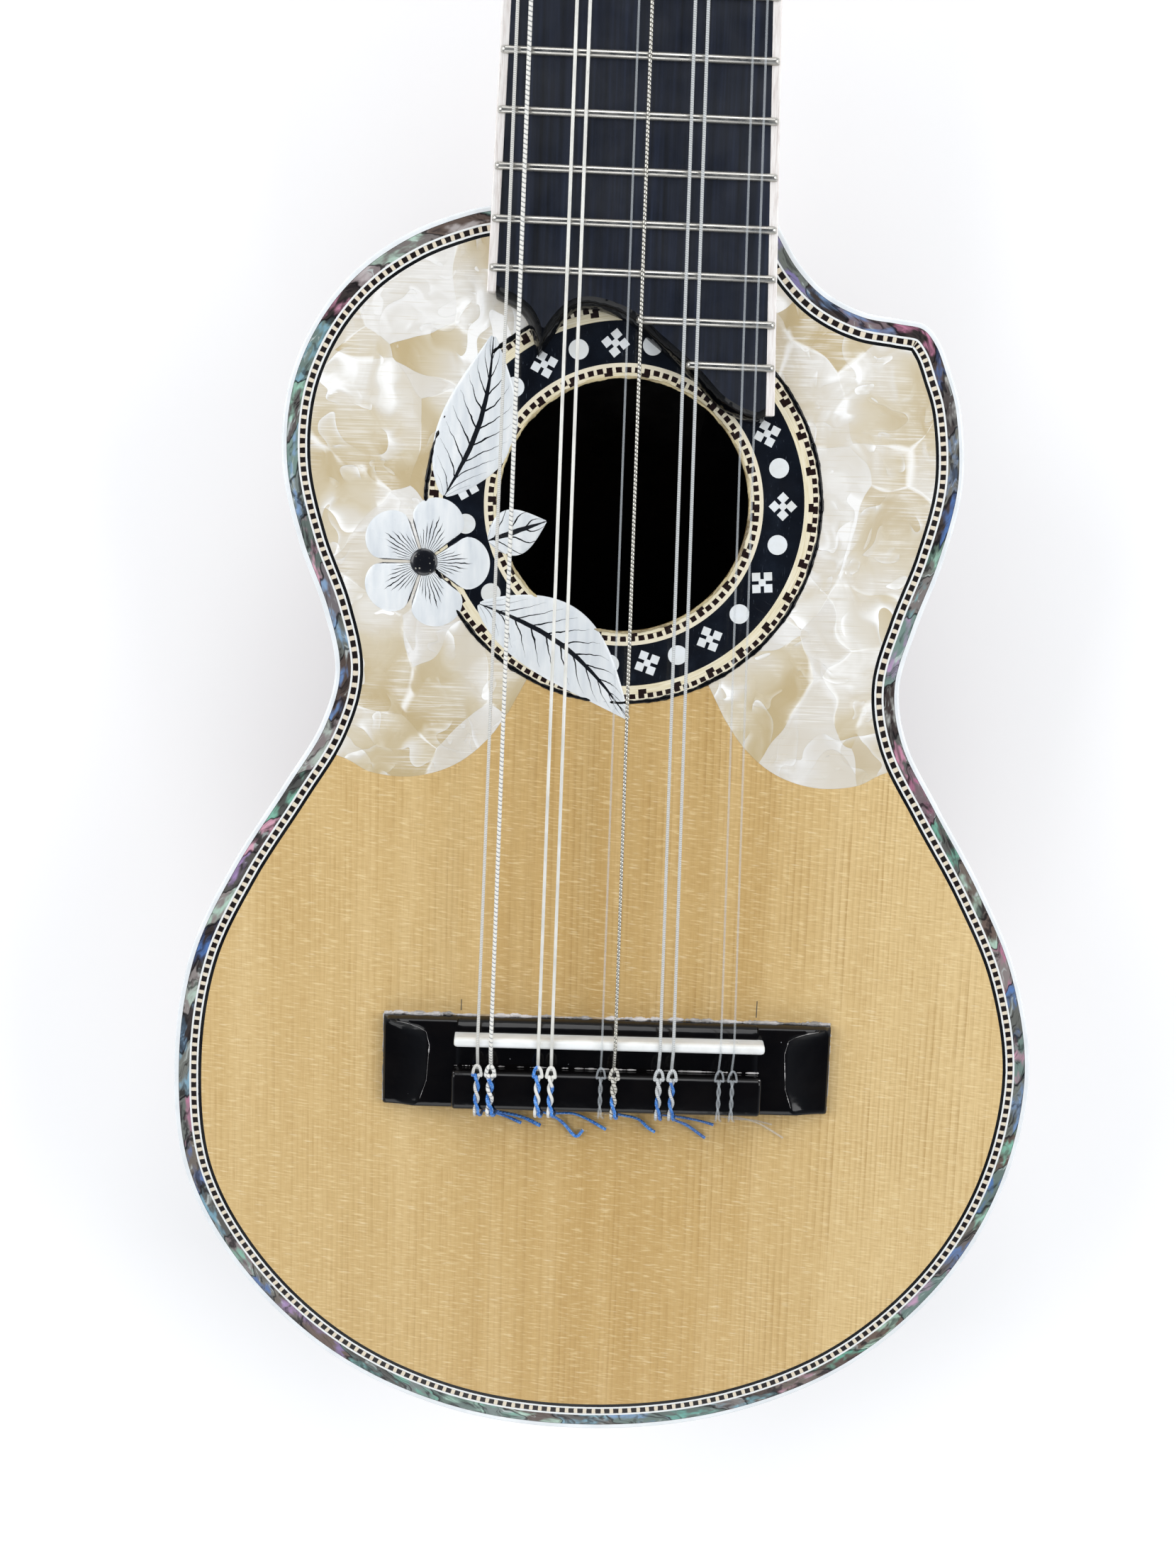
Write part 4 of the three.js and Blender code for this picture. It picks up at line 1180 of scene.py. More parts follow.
@dataclass
class Trim(Finish):
    """Cream trim of the rosette.

    Args:
        steps: Distances between which every fourth block stands.
        chequer: Distances between which every block stands.
        pitch: Distance between the blocks.
        black: Distances of a black edge.
    """

    steps: tuple[float, float]
    chequer: tuple[float, float]
    pitch: float
    black: tuple[float, float]

    def paint(self) -> None:
        """Lay the cream threads, the joint, the blocks and the black edge."""
        along, across = self.lay()
        start = self.chequer[0]
        tiles, stair = (
            self.use(
                "inlay_row", Along=along, Across=across, Near=near, Far=far, Pitch=self.pitch, Duty=duty,
                Every=every,
            )["Mask"]
            for (near, far), duty, every in ((self.chequer, 0.64, 1.0), (self.steps, 0.92, 4.0))
        )
        ragged = across + (self.noise((along, across), 0.7, 3) - 0.5) * 0.24
        threads = self.noise((along * 0.14, across * 4.5), 1, 3)
        colour = self.layers(
            threads.ramp((0.3, "d2c39c"), (0.45, "e6dbba"), (0.7, "f3ecd8")),
            ((across > start) * 0.7, "ece3cc"),
            (abs(across - start).spread(0.08, 0.0, 0, 0.5), "5d4a34"),
            (tiles.calc("MAXIMUM", stair), "20120f"),
            (ragged.band(*self.black), "0b0c10"),
        )
        flow = self.noise((along, across), 0.5, 3).bump(0.12)
        self.polish(colour, (0.7, 0.05), (0.12, 0.32), 0.05, 0, flow)


class BlackLacquer(Finish):
    """Filled black ring: blue-black with fine scratches and small bubbles."""

    def paint(self) -> None:
        """Lay the haze, the scratches and the bubbles."""
        place = self.place()
        hair = self.noise(place.scaled(3.0, 0.5, 1).shifted(self.clouds(place, 0.1, 2.5)))
        colour = self.layers(
            self.noise(place, 0.16, 4, 0.6).ramp((0.3, "0a0c12"), (0.55, "0f131b"), (0.8, "1b212b")),
            (hair.spread(0.66, 0.78, 0, 0.35), "5a6470"),
        )
        bubbles = self.use("dust_specks", Place=place, Density=0.24, Size=0.09, Share=0.4)
        self.polish(colour, (0.6, 0.06), (0.1, 0.3), 0.06, 0.006, bubbles["Mask"].bump(-0.12))


@dataclass
class Pearl(Finish):
    """Folded pearl shell: overlapping leaves with painted sheen brightening them towards open creases, and
    scratches across them.

    Args:
        seed: Place of the pattern's own origin.
    """

    seed: tuple[float, float]

    def paint(self) -> None:
        """Lay the leaves, three sizes of folds with painted sheen and shade, creases with painted highlights,
        and the scratches.
        """
        x, y, _ = self.place().parts()
        place = self.place().scaled(0.047, 0.04, 0.0).shifted((*self.seed, 0.0))
        large = self.use("folded_shell", Place=place, Bend=0.3)
        warp = place.shifted(self.clouds(place, 1.1, 0.55))
        soft = self.noise(warp, 1.6, 3, 0.5, 0.8)
        fold = large["Slope"] * 0.36 + large["Tone"] * 0.16 + soft * 0.48
        for stretch, count, offset, weight in (
            ((0.9, 1.5, 1), 3.6, 0.0, 0.34), ((1.9, 1.1, 1), 3.0, 4.0, 0.3), ((2.9, 3.4, 1), 2.6, 9.0, 0.2)
        ):
            fold = fold + self.fold(warp.scaled(*stretch), count, offset) * weight
        scratches = self.noise((x * 0.09, y * 2.6), 1, 3)
        # The folds' ramp paints sheen and shade; the pale lines along the creases are painted highlights.
        colour = self.layers(
            fold.ramp(
                (0.24, "c0ad86"), (0.38, "ccbea0"), (0.48, "d3c8b0"), (0.58, "d7cfbf"), (0.68, "e1ddd4"),
                (0.8, "fdfcf9"),
            ),
            (large["Crease"] * soft.spread(0.44, 0.56) * 0.8, "fdfcf8"),
            (large["Tone"].spread(0.45, 0.85, 0, 0.6), "dddad5"),
            (scratches.spread(0.46, 0.66) * soft.spread(0.42, 0.62) * 0.5, "f4f2ee"),
            (scratches.spread(0.42, 0.3, 0, 0.3), "c2b391"),
        )
        self.polish(colour, (0.25, 0.08), (0.14, 0.32), 0.05, 0, fold.bump(0.6), Specular_IOR_Level=0.35)

    def fold(self, place: Wire, count: float, offset: float) -> Wire:
        """Open folds of shell: painted sheen up to a crease and painted shade behind it, here and there.

        Args:
            place: Place in the shell.
            count: Folds for one rise of the noise that they follow.
            offset: Place of the noise's own origin.

        Returns:
            A number from -1 to 1.
        """
        height = self.noise(place.shifted((offset, offset, 0.0)), 1, 1, 0.4)
        share = (height * count).calc("FRACT")
        here = self.noise(place.shifted((offset + 7, 2.0, 0.0)), 1.7).spread(0.46, 0.6)
        return here * (share.calc("POWER", 6) - (1 - share).calc("POWER", 5) * 0.22)


class Engraved(Finish):
    """White bone with black engraving."""

    def paint(self) -> None:
        """Lay the bone and cut the engraving into it."""
        place = self.place()
        specks = self.use("dust_specks", Place=place, Density=0.3, Size=0.05, Share=0.25)
        cuts = self.cuts()
        tone = self.noise(place.scaled(0.5, 0.09, 1), 1, 3)
        colour = self.layers(
            tone.ramp((0.3, "d6dbdf"), (0.5, "e2e6e8"), (0.75, "eef0f0")),
            (specks["Mask"] * 0.5, "fdfdfd"), (cuts, "14161b"),
        )
        self.polish(colour, (0.5, 0.06), (0.16, 0.34), 0.04, 0, cuts.bump(-0.08))

    def cuts(self) -> Wire:
        """One where the bone is cut."""
        raise NotImplementedError

    def wander(self, scale: float, reach: float) -> Wire:
        """Unsteadiness of the hand, in millimetres."""
        return (self.noise(tuple(self.lay()), scale) - 0.5) * reach


class Petal(Engraved):
    """Petal with fine lines from its foot."""

    def cuts(self) -> Wire:
        """Lines that end in an arc short of the rim, and the cut beside the next petal."""
        along, across = self.lay()
        wander = self.wander(0.4, 0.9)
        centred = abs(((across + wander + 60.6) / 1.2).calc("FRACT") - 0.5)
        reach = 10.5 - abs(across) * 0.9
        lines = centred < along.spread(reach - 3, reach, 1, 0) * 0.12
        return lines.calc("MAXIMUM", abs(across) > wander * 0.3 + 5.72)


class Leaf(Engraved):
    """Leaf with a middle rib and slanted veins."""

    def cuts(self) -> Wire:
        """The rib, and veins that thin out towards the rim."""
        along, across = self.lay()
        out = abs(across)
        wander = self.wander(0.3, 1.6)
        rib = abs(across + wander * 0.25) < 0.55
        share = ((along - out * 1.1 + wander + 50) / 3.9).calc("FRACT")
        return rib.calc("MAXIMUM", (share < out.spread(0.3, 7.2, 0.13, 0.01)) * (out < 7))


class Heart(Finish):
    """Black heart of the flower with small pale dots."""

    def paint(self) -> None:
        """Lay the dots."""
        dots = self.use("dust_specks", Place=self.place(), Density=1.3, Size=0.32, Share=0.7)["Mask"]
        colour = self.layers("121318", (dots, "d8d4c4"))
        self.polish(colour, (0.5, 0.06), (0.15, 0.3), 0.04, 0, dots.bump(0.08))


class SideStrip(Finish):
    """Pinkish white strip with grain along it and patches of polish."""

    def paint(self) -> None:
        """Lay the grain and the patches."""
        x, y, _ = self.place().parts()
        grain = self.noise((x * 2.6, y * 0.13), 1, 4, 0.6, 0.5)
        cloud = self.noise((x, y * 0.3), 0.5, 3).spread(0.5, 0.7, 0, 0.4)
        colour = self.layers(
            grain.ramp((0.3, "cfc4be"), (0.45, "e9e2dd"), (0.6, "f6f2ee"), (0.75, "dcd3cc")),
            (cloud, "f4f1ee"),
        )
        self.polish(colour, (0.3, 0.1), (0.2, 0.4))


class FretWire(Finish):
    """Nickel silver, brushed along the fret, darker towards its foot and worn where the strings press."""

    def paint(self) -> None:
        """Lay the brushing, the darkening towards the foot and the wear."""
        x, y, z = self.place().parts()
        brushed = self.noise((x * 0.06, y * 6))
        colour = self.layers(
            brushed.ramp((0.3, "a5a19a"), (0.5, "bdbab3"), (0.7, "d9d8d3")),
            (z.spread(5.8, 5.25, 0, 0.9), "3f3a2c"),
        )
        worn = self.noise((x * 0.3, y)).spread(0.35, 0.65, 0.22, 0.36)
        self.set(Base_Color=colour, Metallic=1.0, Roughness=worn)


class BoardWood(Finish):
    """Blue-black fingerboard with faint streaks along it and a little white dust."""

    def paint(self) -> None:
        """Lay the streaks, the pores, the dust and a few fibres."""
        place = self.place()
        x, y, _ = place.parts()
        pores = self.noise((x * 6, y * 0.25))
        dust = self.use("dust_specks", Place=place, Density=0.11, Size=0.024, Share=0.45)
        drawn = place.scaled(1.0, 0.3, 1.0)
        fibre = self.use("dust_specks", Place=drawn, Density=0.05, Size=0.012, Share=0.5)
        streaks = self.noise((x * 0.75, y * 0.018), 1, 4, 0.6)
        colour = self.layers(
            streaks.ramp((0.3, "0b0e15"), (0.5, "151a26"), (0.62, "1b2130"), (0.8, "272f40")),
            (pores.spread(0.62, 0.75, 0, 0.45), "07090e"),
            (dust["Mask"].calc("MAXIMUM", fibre["Mask"]), "c9ced4"),
        )
        self.polish(colour, (0.15, 0.2), (0.32, 0.5), 0.03, 0.004, pores.bump(0.01))


class ButtonPearl(Finish):
    """Pearl plastic of the tuner buttons."""

    def paint(self) -> None:
        """Lay the folds, with painted sheen on one side of each."""
        shell = self.use("folded_shell", Place=self.place().scaled(0.16, 0.16, 0.16), Bend=0.8)
        # Painted sheen: paler on one side of each fold.
        colour = self.layers(
            shell["Tone"].ramp((0.0, "d9d3c2"), (0.5, "ece8dc"), (1.0, "f6f4ee")),
            (shell["Slope"].spread(0.5, 0.9) * 0.5, "fdfcfa"),
        )
        self.polish(
            colour, (0.6, 0.06), (0.12, 0.28), Subsurface_Weight=0.15, Subsurface_Radius=(0.6, 0.55, 0.5),
            Subsurface_Scale=0.0015,
        )


THREADS = {
    "white wound": Thread("f2f0e9", "93979a", 1.0, 0.2, cover=0.93),
    "silver wound": Thread("cdcac0", "4b463d", 0.9, 0.16, metal=0.7),
    "fine wound": Thread("e7e5de", "a3a7aa", 0.42, 0.06, clear=0.1, cover=0.88),
    "grey wound": Thread("e3e5e4", "9aa1a6", 0.46, 0.07, clear=0.1, cover=0.72),
    "clear nylon": Thread("d6dbde", "a2a9af", 1.3, 0.0, cover=0.24),
    "nylon": Thread("e7e6df", "d3d2cb", 1.3, 0.0),
}
FINISHES: dict[str, Finish] = {
    **THREADS,
    **{f"{name} dyed": replace(thread, dyed=True) for name, thread in THREADS.items()},
    "nylon": Even("e7e6df", "d3d2cb", 0.1, 0.22, coat=0.3, glow=0.2),
    "binding": Even("eef1f2", "e0e4e6", 0.16, 0.34, coat=0.4, glow=0.1),
    "bone inlay": Even("e6eaec", "d9dad6", 0.2, 0.4, coat=0.3, scratch=0.004),
    # White specks on the black gloss and the lips: dust and partly painted glints.
    "black gloss": Even("080708", "0d0b0b", 0.05, 0.16, coat=0.1, wave=0.12, dust=0.4, mirror=0.3),
    "lip gloss": Even("050608", "0a0b0e", 0.05, 0.14, wave=0.6, dust=0.5, mirror=0.25),
    # The amber lip's pale colour is partly a painted glint.
    "amber lip": Even("cdbd92", "6d5c3c", 0.05, 0.12, coat=0.7, wave=0.4),
    "bone": Even("f3f5f4", "e4e5e2", 0.22, 0.4, coat=0.2, scratch=0.004, glow=0.1),
    # Pale glue, partly standing for painted glints on the bridge.
    "glue": Even("d6d2d0", "6f6d6b", 0.12, 0.4, coat=0.5, wave=0.3),
    "pencil": Even("4a4740", "6a6457", 0.5, 0.7),
    "brass": Even("b9924c", "8f6c34", 0.18, 0.42, metal=1, scratch=0.006),
    "screw steel": Even("b6b6b2", "8d8c88", 0.2, 0.4, metal=1, scratch=0.006),
    "brace wood": Even("cfab78", "b68f5c", 0.6, 0.8),
    "spruce": Spruce(),
    "carved wood": CarvedWood(),
    "neck wood": BrownWood(),
    "abalone": Abalone(),
    "chequer": Chequer(),
    "rosette trim": Trim((0.4, 1.2), (1.1, 2.3), 2.12, (-1.0, 0.2)),
    "rosette edge": Trim((0.95, 2.1), (2.0, 3.1), 2.08, (3.5, 9.0)),
    "black lacquer": BlackLacquer(),
    "petal": Petal(),
    "leaf": Leaf(),
    "flower heart": Heart(),
    "side strip": SideStrip(),
    "fret wire": FretWire(),
    "fingerboard": BoardWood(),
    "button pearl": ButtonPearl(),
    "pearl left": Pearl((3.1, 7.4)),
    "pearl right": Pearl((11.7, 1.9)),
}


# The instrument's own forms


# Points of the body's outline on each side, from the tail: half widths across, body lengths along
LEFT_EDGE = (
    (0, 0.0002), (0.33, 0.0138), (0.616, 0.0593), (0.839, 0.133), (0.973, 0.2205), (0.9985, 0.3208),
    (0.959, 0.4099), (0.866, 0.4817), (0.749, 0.5489), (0.665, 0.5993), (0.634, 0.6415), (0.66, 0.6883),
    (0.716, 0.7413), (0.754, 0.801), (0.742, 0.861), (0.684, 0.9108), (0.595, 0.9498), (0.478, 0.9786),
    (0.352, 0.9961), (0.302, 1),
)
RIGHT_EDGE = (
    (0.328, 0.0163), (0.61, 0.0619), (0.827, 0.1363), (0.953, 0.2229), (0.997, 0.3208), (0.949, 0.4088),
    (0.855, 0.4796), (0.74, 0.5471), (0.659, 0.5984), (0.636, 0.6415), (0.666, 0.6877), (0.716, 0.7413),
    (0.749, 0.8011), (0.733, 0.8604), (0.707, 0.8873), (0.679, 0.9094), (0.645, 0.9224), (0.586, 0.9264),
    (0.509, 0.9304), (0.427, 0.9434), (0.366, 0.9632), (0.323, 0.9862), (0.302, 1),
)
# Lobed edge of a pearl plate, from the outside: half widths across, lobe reaches below the hole's middle
LOBES = ((1, 1), (0.63, 0.97), (0.55, 1.03), (0.45, 1.04), (0.35, 0.98), (0.26, 0.83), (0.204, 0.64))
# Waved end of the fingerboard, from the left: half widths across, overhangs past the middle of the strings
BOARD_END = (
    (-1, 0.37), (-0.73, 0.48), (-0.62, 0.69), (-0.36, 0.445), (-0.06, 0.48), (0.17, 0.61), (0.42, 0.77),
    (0.63, 0.925), (0.88, 1), (1, 0.96),
)
# Heel: its lengths along, and the share of its full depth there
HEEL = ((0, 1), (0.22, 0.72), (0.48, 0.3), (0.75, 0.07), (1, 0))


@dataclass
class BodyForm:
    """Outline of the top and the bowl that hangs from it.

    Args:
        datum: The frame's sizes.
        steps: Spans of the outline.
        seam_steps: Spans of its straight end under the neck.
        board: Thickness of the soundboard.
        bare: Distance from the edge to the bare wood.
        floor: Thickness of the bowl's bottom.
        centre_share: Place of the bowl's middle along the body.
        roundness: Power of the bowl's rounding.
        flat_share: Size of its flat bottom against its rim.
        oval_share: Size of the oval that it turns into against the body.
    """

    datum: Datum
    steps: int = 560
    seam_steps: int = 25
    board: float = 2.5
    bare: float = 6.5
    floor: float = 5
    centre_share: float = 0.336
    roundness: float = 2.2
    flat_share: float = 0.45
    oval_share: float = 0.93

    def __post_init__(self) -> None:
        """Find the outline, anticlockwise from the left of the neck, and the bowl's middle."""
        size = np.array([self.datum.half_width, self.datum.length])
        left = np.array(LEFT_EDGE)[::-1] * size * (-1, 1)
        curve = centripetal(np.vstack([left, np.array(RIGHT_EDGE) * size]) + (0, self.datum.tail), self.steps)
        seam = np.linspace(curve[-1], curve[0], self.seam_steps + 1)[1:-1]
        self.outline = np.vstack([curve, seam])
        self.centre = np.array([0, self.centre_share * self.datum.length + self.datum.tail])

    def radius_at(self, reach: Array, angle: Array, share: Array) -> Array:
        """Distance of the bowl's ring from its middle.

        Args:
            reach: Distance of the outline there.
            angle: Direction from the middle in radians.
            share: Share of the depth, from 0 at the rim to 1 at the bottom.

        Returns:
            The distance.
        """
        ahead, behind = self.datum.joint - self.centre[1], self.centre[1] - self.datum.tail
        along = np.where(np.sin(angle) > 0, ahead, behind)
        oval = self.oval_share / np.hypot(np.cos(angle) / self.datum.half_width, np.sin(angle) / along)
        mixed = reach + (np.minimum(oval, reach) - reach) * share**2
        rise = (1 - np.clip(share, 0, 1) ** self.roundness) ** (1 / self.roundness)
        return mixed * (self.flat_share + (1 - self.flat_share) * rise)

    def rings(self, outline: Array, bottom: float, levels: int) -> Array:
        """Rings of the bowl from its rim to its bottom and the point in the bottom's middle.

        Args:
            outline: Outline of the rim.
            bottom: Height of the bottom.
            levels: Rings between the two.

        Returns:
            The points by ring and place along the outline.
        """
        arm = outline - self.centre
        angle = np.arctan2(arm[:, 1], arm[:, 0])
        share = np.sin(np.pi / 2 * np.linspace(0, 1, levels + 1))[:, None]
        radius = self.radius_at(np.linalg.norm(arm, axis=1), angle, share)
        flat = radius[..., None] * arms(angle) + self.centre
        rings = at_height(flat, share * (self.board + bottom) - self.board)
        middle = np.array([*self.centre, bottom])
        inner = middle + (rings[-1] - middle) * np.array([0.7, 0.35, 0])[:, None, None]
        return np.concatenate([rings, inner])

    def holds(self, points: Array) -> Array:
        """Whether points lie inside the bowl's outer face.

        Args:
            points: The points.

        Returns:
            True or false for each.
        """
        arm = points[..., :2] - self.centre
        angle = np.arctan2(arm[..., 1], arm[..., 0])
        share = np.clip((-self.board - points[..., 2]) / (self.datum.depth - self.board), 0, 1)
        reach = polar(self.outline, self.centre, angle.ravel()).reshape(angle.shape)
        return np.linalg.norm(arm, axis=-1) < self.radius_at(reach, angle, share)


@dataclass
class BoardForm:
    """Fingerboard: its width, its waved end and its frets.

    Args:
        datum: The frame's sizes.
        joint_half: Half its width where the strings are halved.
        overhang: How far its longest tongue reaches past there.
        strip: Width of the bright strip at each side.
        top: Height of its face.
    """

    datum: Datum
    joint_half: float = 31.4
    overhang: float = 42
    strip: float = 2
    top: float = 5

    def __post_init__(self) -> None:
        """Find the waved end, from left to right, with its cusp kept sharp."""
        width = self.half_width(self.datum.octave - self.overhang)
        points = np.array(BOARD_END) * (width, -self.overhang) + (0, self.datum.octave)
        left, right = centripetal(points[:3], 24), centripetal(points[2:], 70)
        self.end = np.vstack([left, right[1:]])

    def half_width(self, y: float | Array) -> float | Array:
        """Half the width at a place along the strings."""
        share = (y - self.datum.octave) / self.datum.octave
        return self.joint_half + (self.datum.nut_half - self.joint_half) * share

    def inner(self, y: float | Array) -> float | Array:
        """Half the width between the two side strips."""
        return self.half_width(y) - self.strip

    def fret(self, number: int) -> float:
        """Place of a fret, by the rule of the twelfth root of two."""
        return self.datum.scale * 2 ** (-number / 12)

    def cut_by_wave(self, y: float) -> float:
        """Left end of a fret that the waved end cuts short."""
        clear = np.flatnonzero(self.end[:, 1] > y)[-1]
        (x0, y0), (x1, y1) = self.end[clear], self.end[clear + 1]
        return x0 + (x1 - x0) * (y0 - y) / (y0 - y1)


# Sub-assemblies


@dataclass
class Bowl(Part):
    """Carved back with its sides, one closed shell.

    Args:
        form: The body's form.
    """

    form: BodyForm

    def build(self) -> None:
        """Build the shell from the inner face's middle, over the rim, to the outer face's middle."""
        form, bottom = self.form, -self.datum.depth
        outer = form.rings(form.outline, bottom, 44)
        inner = form.rings(inset(form.outline, form.bare), form.floor + bottom, 24)
        rows = np.concatenate([inner[::-1], outer])
        # The inner face's lay along is negative; there the carved wood's finish paints shade.
        shape = grid(rows, np.arange(len(rows) + 1.0) - len(inner), wrap_cols=True)
        self.shop.piece("bowl", shape, "carved wood", "carved_back", replaces=["bowl_back"], sharp=50)


@dataclass
class Top(Part):
    """Soundboard, its bands along the edge and the braces under it.

    Args:
        form: The body's form.
        hole_radius: Radius of the sound hole.
        lap: How far the board reaches under the purfling.
        sunk: How far its face lies under the inlays'.
        binding: Distances from the edge between which the binding lies.
        abalone: The same for the shell.
        purfling: The same for the chequered lines.
    """

    form: BodyForm
    hole_radius: float = 28.5
    lap: float = 0.3
    sunk: float = 0.02
    binding: tuple[float, float] = (0, 1.15)
    abalone: tuple[float, float] = (1.15, 3.65)
    purfling: tuple[float, float] = (3.65, 6.5)

    def build(self) -> None:
        """Build the top and dress its braces."""
        self.build_board()
        self.build_band("binding", self.binding, "binding", "binding_white", "edge_binding", 2.5, 0.5)
        self.build_band("shell_band", self.abalone, "abalone", "abalone", "abalone_band", 1.5, 0)
        self.build_band("chequer_band", self.purfling, "chequer", "chequered_wood", "purfling_band", 1.5, 0)
        for node in ("brace_upper", "brace_lower", "brace_fan_1", "brace_fan_2", "brace_fan_3"):
            self.shop.dress(node, "brace wood")

    def build_board(self) -> None:
        """Build the soundboard as rings about the sound hole."""
        centre, angle = (0, self.datum.hole), bearings(720)
        edge = polar(inset(self.form.outline, self.form.bare - self.lap), centre, angle)
        share = np.array([0, 0, 0.25, 0.5, 0.75, 1, 1])
        height = np.array([-self.form.board, *[-self.sunk] * 5, -self.form.board])
        radius = self.hole_radius + share * (edge[:, None] - self.hole_radius)
        rows = at_height(radius[..., None] * arms(angle)[:, None] + centre, height)
        self.shop.piece("top_board", ring(rows), "spruce", "spruce", replaces=["soundboard"])

    def build_band(
        self, name: str, reach: tuple[float, float], finish: str, slot: str, node: str, depth: float,
        rounding: float,
    ) -> None:
        """Build a band along the edge.

        Args:
            name: Name of the piece.
            reach: Distances from the edge between which it lies.
            finish: Name of its finish.
            slot: Its material slot.
            node: CAD node that it replaces.
            depth: Its thickness.
            rounding: Radius of its outer upper edge.
        """
        start, end = reach
        turn = np.linspace(np.pi / 2, 0, 5 if rounding else 1)
        far, high = start + rounding * (1 - np.sin(turn)), rounding * (np.cos(turn) - 1)
        across = np.concatenate([[start], far, [(start + end) / 2, end, end]])
        height = np.concatenate([[-depth], high, [0, 0, -depth]])
        outline = self.form.outline
        rows = np.stack([at_height(inset(outline, step), level) for step, level in zip(across, height)], 1)
        shape = ring(rows, lengths(outline, closed=True), np.append(across, start))
        self.shop.piece(name, shape, finish, slot, replaces=[node], sharp=40)


@dataclass
class Rosette(Part):
    """Rings of inlay round the sound hole, with white dots and crosses let into the black one.

    Args:
        inner: Radii of the inner trim.
        middle: Radii of the black ring.
        outer: Radii of the outer trim.
        depth: Thickness of the rings.
        proud: How far they stand over the soundboard's face.
        motif_radius: Distance of the dots and crosses from the hole's middle.
        dot_radius: Radius of a dot.
        cross_side: Side of a cross.
        slot: Half width and depth of the slots sawn into a cross.
        motif_turns: Directions of the first motifs in degrees, clockwise from the right.
        rest: Number of motifs after them, evenly spread.
        cross_turns: Turns of the crosses in degrees.
    """

    inner: tuple[float, float] = (28.5, 31.7)
    middle: tuple[float, float] = (31.7, 41)
    outer: tuple[float, float] = (41, 45.2)
    depth: float = 1.5
    proud: float = 0.03
    motif_radius: float = 36.1
    dot_radius: float = 2.25
    cross_side: float = 4.6
    slot: tuple[float, float] = (0.4, 1.5)
    motif_turns: tuple[float, ...] = (-28.4, -15.4, -1.7, 12.2, 26.8, 40.8, 54.9, 67.9, 79.4, 93.3, 105.3)
    rest: int = 16
    cross_turns: tuple[float, ...] = (36, 45, 31, 36, 61, 58, 40, 48)

    def build(self) -> None:
        """Build the rings, the motifs and two lines of lacquer."""
        self.build_ring("rosette_inner", self.inner, "rosette trim")
        self.build_ring("rosette_black", self.middle, "black lacquer")
        self.build_ring("rosette_outer", self.outer, "rosette edge")
        self.shop.piece("rosette_motifs", join(self.motifs()), "bone inlay", "bone_inlay", sharp=30)
        # Lacquer beads: their white specks and the hole bead's pale colour are partly painted glints.
        self.build_bead("rosette_lacquer_line", 44.8, 0.46, 0.3, "lip gloss")
        self.build_bead("hole_lacquer_line", 28.62, 0.3, 0.3, "amber lip")

    def build_bead(self, name: str, radius: float, half: float, rise: float, finish: str) -> None:
        """Build a bead of lacquer: a low arch carried round the hole, its width and height swelling by turns.

        Args:
            name: Name of the piece.
            radius: Distance from the hole's middle.
            half: Half its width.
            rise: Its height.
            finish: Name of its finish.
        """
        angle, arch = bearings(720)[:, None], np.linspace(0, np.pi, 9)
        swell = 1 + 0.16 * np.sin(23 * angle + radius) + 0.14 * np.sin(61 * angle) + 0.1 * np.sin(137 * angle)
        reach = radius + half * swell * np.cos(arch) + 0.06 * np.sin(31 * angle)
        flat = reach[..., None] * arms(angle) + (0, self.datum.hole)
        self.shop.piece(name, ring(at_height(flat, rise * swell * np.sin(arch))), finish, "rosette_inlay")

    def build_ring(self, name: str, reach: tuple[float, float], finish: str) -> None:
        """Build one ring, its lay measured at its middle and from its inner edge.

        Args:
            name: Name of the piece.
            reach: Its inner and outer radius.
            finish: Name of its finish.
        """
        start, end = reach
        middle = (start + end) / 2
        across = np.array([start, start, middle, end, end])
        height = np.array([-self.depth, *[self.proud] * 3, -self.depth])
        flat = across[:, None] * arms(bearings(360))[:, None] + (0, self.datum.hole)
        along = np.linspace(0, 2 * np.pi, 361) * middle
        shape = ring(at_height(flat, height), along, np.append(across, start) - start)
        self.shop.piece(name, shape, finish, "rosette_inlay", replaces=["rosette"])

    def motifs(self) -> Iterable[Shape]:
        """Crosses and dots in turn, a little uneven as in hand work."""
        first, last = self.motif_turns[0], self.motif_turns[-1]
        rest = last + (360 + first - last) / (self.rest + 1) * np.arange(1, self.rest + 1)
        for number, degrees in enumerate([*self.motif_turns, *rest]):
            angle = -math.radians(degrees)
            x, y = self.motif_radius * math.cos(angle), self.motif_radius * math.sin(angle) + self.datum.hole
            outline = self.dot_radius * arms(bearings(32)) if number % 2 else self.cross()
            turn = spin("Z", angle + math.radians(self.cross_turns[number // 2 % len(self.cross_turns)]))
            yield prism(outline, -0.5, 0.06).placed(turn, (x, y, 0))

    def cross(self) -> Array:
        """Square with a slot sawn into the middle of each side."""
        half, (wide, deep) = self.cross_side / 2, self.slot
        foot = half - deep
        side = np.array([(half, -half), (half, -wide), (foot, -wide), (foot, wide), (half, wide)])
        return np.vstack([side @ spin("Z", k * math.pi / 2)[:2, :2].T for k in range(4)])


